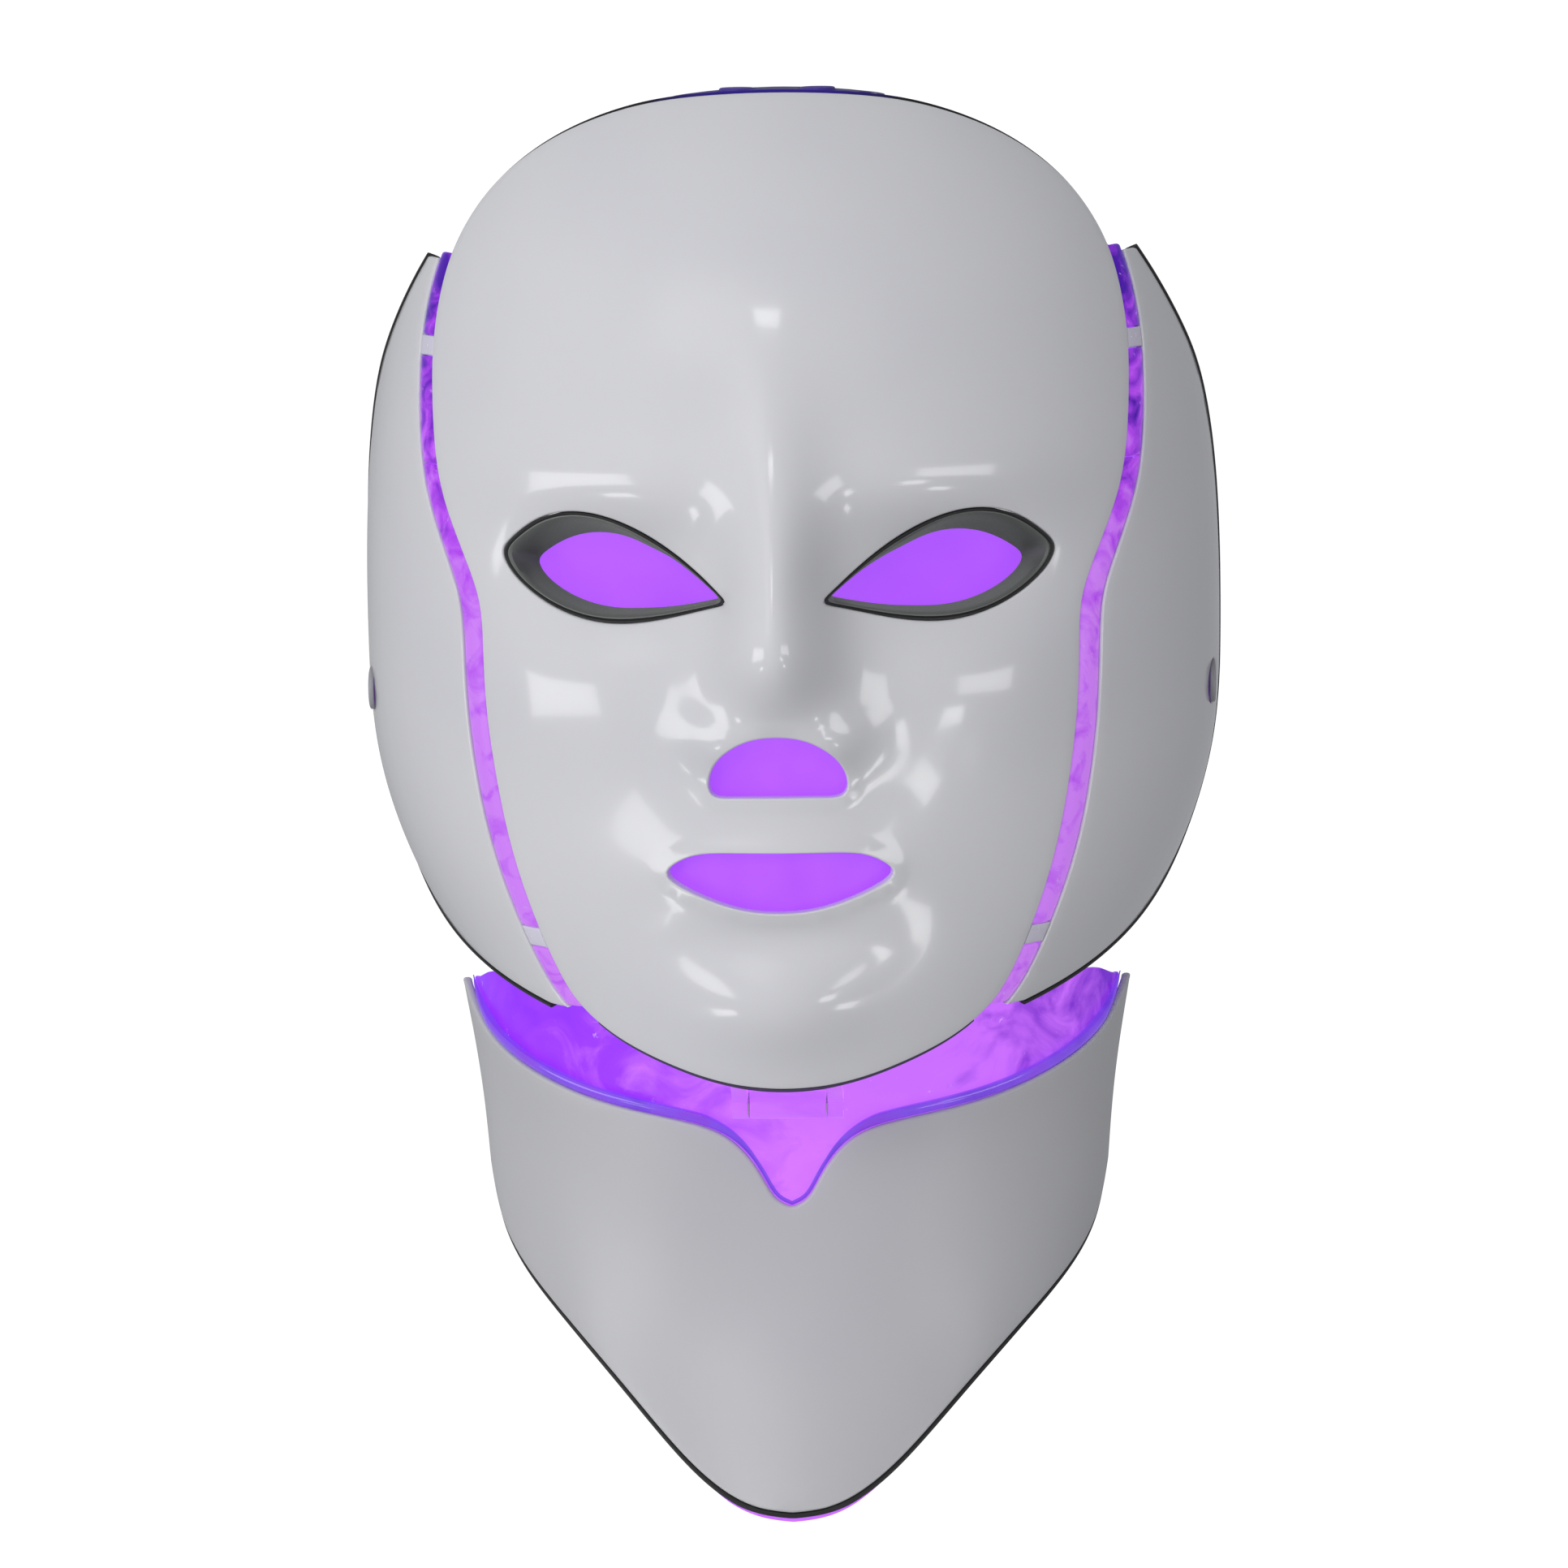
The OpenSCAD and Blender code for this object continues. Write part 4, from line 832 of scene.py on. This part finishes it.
EYELET_ARC, EYELET_Z = math.radians(79) * ARC_SCALE, 80
EYELET_HOLE = 5.3
ARC_PER_DEPTH = 1.05  # arc length for each millimetre of depth at the eyelets
eyelet_hole = np.stack([EYELET_ARC + EYELET_HOLE * ARC_PER_DEPTH * np.cos(turns(48)),
                        EYELET_Z + EYELET_HOLE * np.sin(turns(48))], -1)
clip_edges = [z + end * (CLIP_HALF + CLIP_GAP) for z in CLIP_HEIGHTS for end in (-1, 1)]
strip_ends = [STRIP_BOTTOM, clip_edges[0], clip_edges[1], STRIP_JOIN - JOIN_HALF,
              STRIP_JOIN + JOIN_HALF, clip_edges[2], clip_edges[3], STRIP_TOP]
for side, s in SIDES.items():
    shell(f"{side}_cheek_skin", face_at, even(on_side(CHEEK, s), OUTLINE_STEP), [on_side(eyelet_hole, s)],
          front=0, back=SHELL_WALL, spacing=2.4, edge_r=0.5, body="mask",
          replaced=[f"{side}_cheek_shell"], material=white_gloss)
    for part, z0, z1 in zip(("chin", "cheek", "temple", "crown"), strip_ends[::2], strip_ends[1::2]):
        shell(f"{side}_light_strip_{part}", face_at, even(on_side(band(z0, z1, STRIP_MARGIN), s), 0.9), [],
              front=STRIP_FRONT, back=STRIP_BACK, spacing=1.3, edge_r=0.6, body="mask",
              replaced=[f"{side}_light_strip"], material=strip_glow, lift=domed)
    for part, z in zip(("lower", "upper"), CLIP_HEIGHTS):
        clip = band(z - CLIP_HALF, z + CLIP_HALF, CLIP_GAP)
        shell(f"{side}_bridge_clip_{part}", face_at, even(on_side(clip, s), 0.6), [],
              front=STRIP_FRONT - CLIP_PROUD, back=STRIP_BACK, spacing=1.1, edge_r=0.4, body="mask",
              replaced=[f"{side}_bridge_clips"], material=milky_clip)

# ---- the light guide and the clear inner cover ------------------------------------------
EYE_MIDDLE = np.array([35.0, 116.0])
SLOT_SQUARE = 0.35  # 1 is an ellipse, less is squarer


def eye_holes(by):
    """Both eye openings, grown outward by a distance."""
    ring = smooth_ring(EYE, 160)
    away = ring - EYE_MIDDLE
    away /= np.linalg.norm(away, axis=1, keepdims=True)
    grown = anticlockwise(unrolled(ring + by * away))
    return [even(grown, 1.2), even(flipped(grown), 1.2)]


def slot_hole(half, low, high):
    """A slot with round ends, across the middle line."""
    c, s = np.cos(turns(64)), np.sin(turns(64))
    x = np.sign(c) * np.abs(c)**SLOT_SQUARE * half
    z = (low + high) / 2 + np.sign(s) * np.abs(s)**SLOT_SQUARE * (high - low) / 2
    return even(anticlockwise(unrolled(np.stack([x, z], -1))), 0.9)


LINER_FRONT, LINER_BACK = 3.2, 4.6
COVER_FRONT, COVER_BACK = 9.6, 10.8
LINER_INSET, COVER_INSET = 0.4, 5.0
shell("face_liner_skin", face_at, even(shrunk(FULL, LINER_INSET), 1.6),
      eye_holes(1.2) + [slot_hole(8, 60.5, 65), slot_hole(15, 35, 39)],
      front=LINER_FRONT, back=LINER_BACK, spacing=3.0, edge_r=0.45, body="mask",
      replaced=["face_liner"], material=liner_glow, edge_steps=2)
BREATHING = [(-18, 34), (0, 34), (18, 34), (20.5, 36), (20.3, 46), (20, 56), (16, 69), (12.4, 80),
             (10, 82), (0, 82), (-10, 82), (-12.4, 80), (-16, 69), (-20, 56), (-20.3, 46), (-20.5, 36)]
breathing = anticlockwise(unrolled(smooth_ring(BREATHING, 120)))
COVER_SPLIT, SEAM = 116, 0.1
COVER_CUTS = {  # node: planes as (point, direction of what is cut away)
    "forehead_cover": [((0, 0, COVER_SPLIT + SEAM), (0, 0, -1))],
    "left_cheek_cover": [((0, 0, COVER_SPLIT - SEAM), (0, 0, 1)), ((SEAM, 0, 0), (-1, 0, 0))],
    "right_cheek_cover": [((0, 0, COVER_SPLIT - SEAM), (0, 0, 1)), ((-SEAM, 0, 0), (1, 0, 0))]}
for node, cuts in COVER_CUTS.items():
    made = shell(f"{node}_skin", face_at, even(shrunk(FULL, COVER_INSET), 1.8),
                 eye_holes(1.8) + [even(breathing, 1.2)],
                 front=COVER_FRONT, back=COVER_BACK, spacing=3.4, edge_r=0.5, body="mask",
                 replaced=[node], material=cover_film, edge_steps=2)
    for point, normal in cuts:
        trimmed(made, point, normal)

# ---- eye cups and tinted lenses ------------------------------------------------------------
CUP_GAP, CUP_WALL = 0.35, 1.3
CUP_BACK = 12.4
RIM_GAP, RIM_W = 0.12, 0.9
FRONT_MIDDLE, REAR_MIDDLE = (35, 116), (35, 114)
CUP_STATIONS = [  # share of the way to the rear opening, distance inward, depth
    (0.0, RIM_GAP + RIM_W - 0.1, 2.0), (0.0, RIM_GAP + RIM_W - 0.1, 0.3),
    (0.0, RIM_GAP + RIM_W + 0.3, 0.2), (0.02, CUP_GAP + CUP_WALL, 0.6),
    (0.25, CUP_GAP + CUP_WALL, 3.0), (0.55, CUP_WALL + 0.2, 6.2), (0.85, CUP_WALL + 0.1, 9.8),
    (1.0, CUP_WALL, CUP_BACK - 0.3), (1.0, CUP_WALL - 0.3, CUP_BACK), (1.0, 0.2, CUP_BACK),
    (1.0, 0.0, CUP_BACK - 0.4), (0.6, 0.1, 7.5), (0.3, 0.2, 4.2)]
# The cup's lip is real, but its black against the grey cup is painted shadow: a dark line round the eye
# opening where the lip's shadow falls.
SHADOW_LIP_STATIONS = [
    (0.0, RIM_GAP, 2.4), (0.0, RIM_GAP, 0.4), (0.0, RIM_GAP + 0.2, 0.0),
    (0.0, RIM_GAP + RIM_W / 2, -0.15), (0.0, RIM_GAP + RIM_W - 0.15, 0.0),
    (0.0, RIM_GAP + RIM_W, 0.3), (0.0, RIM_GAP + RIM_W, 2.4)]
LENS_INSET = 0.45
LENS_FRONT, LENS_BACK = 10.8, 12.0


def rear_eye(ring):
    """The eye opening as it is at the cup's rear: lower, with its inner corner held."""
    return np.stack([12.7 + (ring[:, 0] - 11.5) * 0.98, 105.5 + (ring[:, 1] - 105.2) * 0.74], -1)


def toward(ring, centre, by):
    """A ring moved toward a centre by a distance."""
    away = np.asarray(centre, float) - ring
    return ring + by * away / np.linalg.norm(away, axis=1, keepdims=True)


def cup_piece(side, s, name, stations, finish):
    """A loop of skin round the eye, through stations between the front and the rear opening."""
    columns = []
    for share, inward_by, d in stations:
        ring = (toward(eye_ring, FRONT_MIDDLE, inward_by) * (1 - share)
                + toward(rear_eye(eye_ring), REAR_MIDDLE, inward_by) * share)
        p = unrolled(ring)
        columns.append(face_at(s * p[:, 0], p[:, 1], np.full(len(p), d)))
    sweep(f"{side}_eye_cup_{name}", np.stack(columns, 1), "mask", True,
          [f"{side}_eye_cup"], finish)


eye_ring = even(smooth_ring(EYE, 300), 0.8)
lens_ring = anticlockwise(unrolled(toward(rear_eye(smooth_ring(EYE, 160)), REAR_MIDDLE, LENS_INSET)))
for side, s in SIDES.items():
    cup_piece(side, s, "skin", CUP_STATIONS, cup_rubber)
    # The lip in black rubber is painted shadow round the eye opening.
    cup_piece(side, s, "rim", SHADOW_LIP_STATIONS, black_rubber)
    lens_skin = shell(f"{side}_eye_lens_skin", face_at, even(on_side(lens_ring, s), 0.8), [],
                      front=LENS_FRONT, back=LENS_BACK, spacing=2.4, edge_r=0.3, body="mask",
                      replaced=[f"{side}_eye_lens"], material=lens_glow, edge_steps=2)
    lens_skin.visible_diffuse = False
    lens_skin.visible_glossy = False

# ---- edge seals -------------------------------------------------------------------------------
SEAL_W = 0.9
SEAL_GAP = 0.05
SEAL_FRONT, SEAL_BACK = 0.5, 3.0
CHEEK_SEAL_FRONT = -0.35
SEAL_STEP = 1.5
TOP_SEAL_FROM, CHIN_SEAL_TO = 186, 13


def face_seal(name, line, node, finish, side=1, front=SEAL_FRONT):
    """A seal along an edge of the mask's shells."""
    bead(name, face_at, line, side, SEAL_GAP, SEAL_W / 2, front, SEAL_BACK,
         "mask", [node], finish)


top_line = CENTRE[CENTRE[:, 1] > TOP_SEAL_FROM]
top_line = even(top_line[np.argsort(-top_line[:, 0])], SEAL_STEP, False)
# The top seal carries the painted navy sheen.
face_seal("face_seal_top", top_line, "face_shell_seal", sheen_painted_rubber)
chin_line = CENTRE[CENTRE[:, 1] < CHIN_SEAL_TO]
chin_line = even(chin_line[np.argsort(chin_line[:, 0])], SEAL_STEP, False)
# The chin seal is tinted as painted shade.
face_seal("face_seal_chin", chin_line, "face_shell_seal", shade_tinted_rubber)
for side, s in SIDES.items():
    line = even(np.stack([rear_arc(heights), heights], -1), SEAL_STEP, False) * [s, 1]
    face_seal(f"{side}_cheek_seal_bead", line, f"{side}_cheek_seal", black_rubber, s, CHEEK_SEAL_FRONT)

# ---- neck piece ---------------------------------------------------------------------------------
def neck_outline(top, bottom, drop=0.0, n=160):
    """A closed outline between a top and a bottom line, the bottom moved down by `drop`."""
    upper = smooth_line(top, n)
    lower = smooth_line(bottom, n) - [0, drop]
    right = np.vstack([lower, upper[::-1]])
    left_half = (right * [-1, 1])[::-1]
    return anticlockwise(np.vstack([right, left_half]))


def both_ways(half):
    """A line from the middle outward, with its mirror image before it."""
    return np.vstack([(half * [-1, 1])[::-1], half[1:]])


COLLAR = [(0, 11), (30, 12.5), (60, 14), (76, 16), (87, 15.5), (94, 13.4), (101, 11.6), (107, 11)]
COLLAR_DROP = 3.0  # how far the neck's light guide reaches below its shell
COVER_END = 101.9
COVER_TOP = [(0, -14), (60, -10), (90, -2), (COVER_END, 3)]
COVER_LOW = [(u, z + 5) for u, z in NECK_BOTTOM if u < 101] + [(COVER_END, -36)]
shell("neck_shell_skin", neck_at, even(neck_outline(NECK_TOP, NECK_BOTTOM), OUTLINE_STEP), [],
      front=0, back=2.0, spacing=2.4, edge_r=0.8, body="neck_piece",
      replaced=["neck_shell"], material=neck_white_shaded)
shell("neck_liner_skin", neck_at, even(neck_outline(COLLAR, NECK_BOTTOM, COLLAR_DROP), OUTLINE_STEP), [],
      front=2.8, back=4.2, spacing=2.6, edge_r=0.45, body="neck_piece",
      replaced=["neck_liner"], material=collar_glow, edge_steps=2)
shell("neck_cover_skin", neck_at, even(neck_outline(COVER_TOP, COVER_LOW), 1.8), [],
      front=8.6, back=9.6, spacing=3.4, edge_r=0.4, body="neck_piece",
      replaced=["neck_inner_cover"], material=cover_film, edge_steps=2)

NECK_SEAL_W = 1.4
NECK_SEAL_FRONT, NECK_SEAL_BACK = 0.3, 2.4
neck_low = even(both_ways(smooth_line(NECK_BOTTOM, 160)), SEAL_STEP, False)
bead("neck_seal_bead", neck_at, neck_low, 1, SEAL_GAP, NECK_SEAL_W / 2,
     NECK_SEAL_FRONT, NECK_SEAL_BACK, "neck_piece", ["neck_seal"], black_rubber)

BEAD_HALF, BEAD_GAP = 1.3, 0.15
BEAD_FRONT, BEAD_BACK = 0.5, 2.7
TAPER_POINTS = 14  # how many points the bead takes to reach its full width
TONGUE_SHARE = 0.35  # the bead's width round the tongue
neck_high = even(both_ways(smooth_line(NECK_TOP, 200)), 1.3, False)
from_end = np.minimum(np.arange(len(neck_high)), np.arange(len(neck_high))[::-1])
past_tongue = np.clip((np.abs(neck_high[:, 0]) - 9) / 12, 0, 1)
bead_fullness = (np.clip(from_end / TAPER_POINTS, 0.05, 1)**0.7
                 * (TONGUE_SHARE + (1 - TONGUE_SHARE) * past_tongue))
bead("neck_collar_bead", neck_at, neck_high, -1, BEAD_GAP, BEAD_HALF,
     BEAD_FRONT, BEAD_BACK, "neck_piece", ["neck_liner"], bead_glow, bead_fullness)

# ---- finishes of the inner pieces, and of every CAD node by its slot --------------------------------
board_white = plastic("board_white", (0.80, 0.80, 0.82), (0.86, 0.86, 0.87), 0.4, 500.0, 0.02)
led_glow = glowing("led_glow", [(0.3, (0.62, 0.30, 1.0)), (0.7, (0.85, 0.60, 1.0))], 1.6, 60.0)
led_white = plastic("led_white", (0.78, 0.76, 0.82), (0.84, 0.82, 0.88), 0.35, 900.0, 0.02)
ribbon_film = plastic("ribbon_film", (0.55, 0.28, 0.06), (0.66, 0.36, 0.09), 0.3, 300.0, 0.02)
nylon = plastic("nylon", (0.68, 0.68, 0.70), (0.74, 0.74, 0.75), 0.45, 700.0, 0.03)
steel = plastic("steel", (0.50, 0.50, 0.52), (0.60, 0.60, 0.62), 0.28, 900.0, 0.03, 0.06, Metallic=1.0)
acetal = plastic("acetal", (0.26, 0.26, 0.28), (0.32, 0.32, 0.34), 0.4, 700.0, 0.03)
case_navy = plastic("case_navy", (0.014, 0.006, 0.15), (0.022, 0.010, 0.20), 0.48, 2200.0, 0.10, 0.05)
pad_cloth = plastic("pad_cloth", (0.035, 0.03, 0.11), (0.05, 0.045, 0.15), 0.85, 1600.0, 0.35)
cell_wrap = plastic("cell_wrap", (0.42, 0.44, 0.47), (0.5, 0.52, 0.55), 0.35, 300.0, 0.03)
green_board = plastic("green_board", (0.015, 0.12, 0.05), (0.02, 0.16, 0.07), 0.35, 400.0, 0.03)
black_plastic = plastic("black_plastic", grey(0.02), grey(0.03), 0.4, 900.0, 0.04)
button_rubber = plastic("button_rubber", (0.05, 0.025, 0.26), (0.07, 0.035, 0.32), 0.5, 1500.0, 0.06)
# The hinge plastic is lilac and gives off light: a painted glow for the violet light that shines through it.
lilac_painted_glow = glowing("lilac_painted_glow", [(0.3, (0.54, 0.12, 0.98)), (0.7, (0.66, 0.20, 1.0))], 0.78, 60.0,
                        rough=0.3, Coat_Weight=0.08, Specular_IOR_Level=0.25)
gold = plastic("gold", (0.62, 0.52, 0.66), (0.70, 0.60, 0.74), 0.25, 700.0, 0.03, 0.05, Metallic=1.0)
FINISHES = {
    "white_shell": white_gloss, "light_guide": liner_glow, "edge_seal": black_rubber,
    "clear_clip": milky_clip, "eye_rubber": cup_rubber, "eye_tint": lens_glow,
    "led_board": board_white, "led": led_glow, "clear_cover": cover_film, "inner_plastic": nylon,
    "steel": steel, "eyelet": acetal, "pad_foam": pad_cloth, "case_plastic": case_navy,
    "battery_wrap": cell_wrap, "control_pcb": green_board, "switch_body": black_plastic,
    "button": button_rubber, "hinge_plastic": lilac_painted_glow, "brass": gold, "ribbon": ribbon_film}
SLOT_OF = {row["node"]: row["material_slot"] for row in frame["record"]["subparts"]}
for node, slot_name in SLOT_OF.items():
    mesh = frame["nodes"][node].data
    mesh.materials.clear()
    mesh.materials.append(FINISHES[slot_name])

# ---- rounded copies of the plain moulded and metal parts ----------------------------------------------
SOFT_EDGES = {  # body: {node: edge radius in millimetres}
    "mask": {"control_case": 0.8, "control_case_lid": 0.5, "case_screws": 0.2, "case_standoffs": 0.3,
             "battery": 0.6, "button_switches": 0.25, "charging_socket": 0.12, "hinge_bracket": 0.4,
             "hinge_pin": 0.3, "left_strap_eyelet": 0.4, "right_strap_eyelet": 0.4, "cover_posts": 0.25,
             "cover_screws": 0.25, "contact_washers": 0.05},
    "power_button": {"power_button": 0.5},
    "mode_button": {"mode_button": 0.5},
    "neck_piece": {"neck_hinge_lug": 0.4, "neck_posts": 0.25, "neck_screws": 0.25}}
for body, nodes in SOFT_EDGES.items():
    for node, width in nodes.items():
        softened(node, width, body, FINISHES[SLOT_OF[node]])

PAD_HALF, PAD_LOW, PAD_HIGH = 38, 170, 184
PAD_FRONT, PAD_BACK = 11.3, 14.5
PAD = np.array([(-PAD_HALF, PAD_LOW), (PAD_HALF, PAD_LOW),
                (PAD_HALF, PAD_HIGH), (-PAD_HALF, PAD_HIGH)], float)
shell("forehead_pad_skin", face_at, even(anticlockwise(PAD), 1.0), [],
      front=PAD_FRONT, back=PAD_BACK, spacing=1.6, edge_r=1.3, body="mask",
      replaced=["forehead_pad"], material=pad_cloth)

# ---- light packages: a white body with a lit lens on each ---------------------------------------------
LED_L, LED_W, LED_H = 3.5, 2.8, 1.5
LED_BASE = 0.8
LED_LENS_R = 1.15
LED_DEPTH, NECK_LED_DEPTH = 7.5, 6.8
LED_MARGIN = 6
LED_AREAS = {  # arc from, arc to, z from, z to, columns, rows
    "forehead_leds": (-66, 66, 150, 196, 9, 3), "left_cheek_leds": (36, 112, 58, 96, 6, 3),
    "right_cheek_leds": (-112, -36, 58, 96, 6, 3), "chin_leds": (-48, 48, 11.5, 32.5, 5, 2)}


def point_on(at, u, z, d=0):
    """One point of a surface."""
    return at(np.array([u], float), np.array([z], float), np.array([d], float))[0]


def local_frame(at, u, z):
    """The two directions along a surface at a point, and its outward normal."""
    def near(du, dz):
        return point_on(at, u + du, z + dz)

    across = near(0.5, 0) - near(-0.5, 0)
    across /= np.linalg.norm(across)
    up = near(0, 0.5) - near(0, -0.5)
    normal = np.cross(across, up)
    normal /= np.linalg.norm(normal)
    return across, np.cross(normal, across), normal


def box_points(l, w, z0, z1):
    """A box's corners, the lower four first."""
    return [(x * l / 2, y * w / 2, z) for z in (z0, z1) for x, y in CORNERS]


DOME_AROUND, DOME_RINGS = 14, 3
BOX_FACES = [(0, 3, 2, 1), (4, 5, 6, 7), (0, 1, 5, 4), (1, 2, 6, 5), (2, 3, 7, 6), (3, 0, 4, 7)]


def dome_points(r, height, base):
    """Half a ball of radius r, flattened to a height: rings of points and the top one."""
    points = []
    for k in range(DOME_RINGS):
        a = k / DOME_RINGS * math.pi / 2
        points += [(r * math.cos(a) * math.cos(t), r * math.cos(a) * math.sin(t), base + height * math.sin(a))
                   for t in turns(DOME_AROUND)]
    return points + [(0, 0, base + height)]


def dome_faces():
    """The flat base, the bands and the top of `dome_points`."""
    n = DOME_AROUND
    faces = [tuple(range(n))[::-1]]
    for k in range(DOME_RINGS - 1):
        faces += [(k * n + i, k * n + (i + 1) % n, (k + 1) * n + (i + 1) % n, (k + 1) * n + i)
                  for i in range(n)]
    top = (DOME_RINGS - 1) * n
    return faces + [(top + i, top + (i + 1) % n, DOME_RINGS * n) for i in range(n)]


def lamps(node, at, spots, depth_at, body):
    """White bodies and lit lenses at the spots, facing the wearer."""
    bases, base_faces, lenses, lens_faces = [], [], [], []
    for u, z in spots:
        origin = point_on(at, u, z, depth_at)
        across, up, normal = local_frame(at, u, z)

        def placed(points):
            return [origin + across * x - up * y - normal * h for x, y, h in points]

        base_faces += [tuple(i + len(bases) for i in f) for f in BOX_FACES]
        bases += placed(box_points(LED_L, LED_W, 0, LED_BASE))
        lens_faces += [tuple(i + len(lenses) for i in f) for f in dome_faces()]
        lenses += placed(dome_points(LED_LENS_R, LED_H - LED_BASE, LED_BASE))
    piece(f"{node}_bodies", bases, base_faces, body, [node], led_white)
    piece(f"{node}_lenses", lenses, lens_faces, body, [node], led_glow)


for node, (u0, u1, z0, z1, columns, rows) in LED_AREAS.items():
    spots = [(u0 + LED_MARGIN + (u1 - u0 - 2 * LED_MARGIN) * c / (columns - 1),
              z0 + LED_MARGIN + (z1 - z0 - 2 * LED_MARGIN) * r / (rows - 1))
             for c in range(columns) for r in range(rows)]
    lamps(node, face_at, spots, LED_DEPTH, "mask")
NECK_LED_STEP, NECK_LED_ROWS = 16, (-46, -32)
neck_spots = [(c * NECK_LED_STEP, z) for c in range(-3, 4) for z in NECK_LED_ROWS]
lamps("neck_leds", neck_at, neck_spots, NECK_LED_DEPTH, "neck_piece")
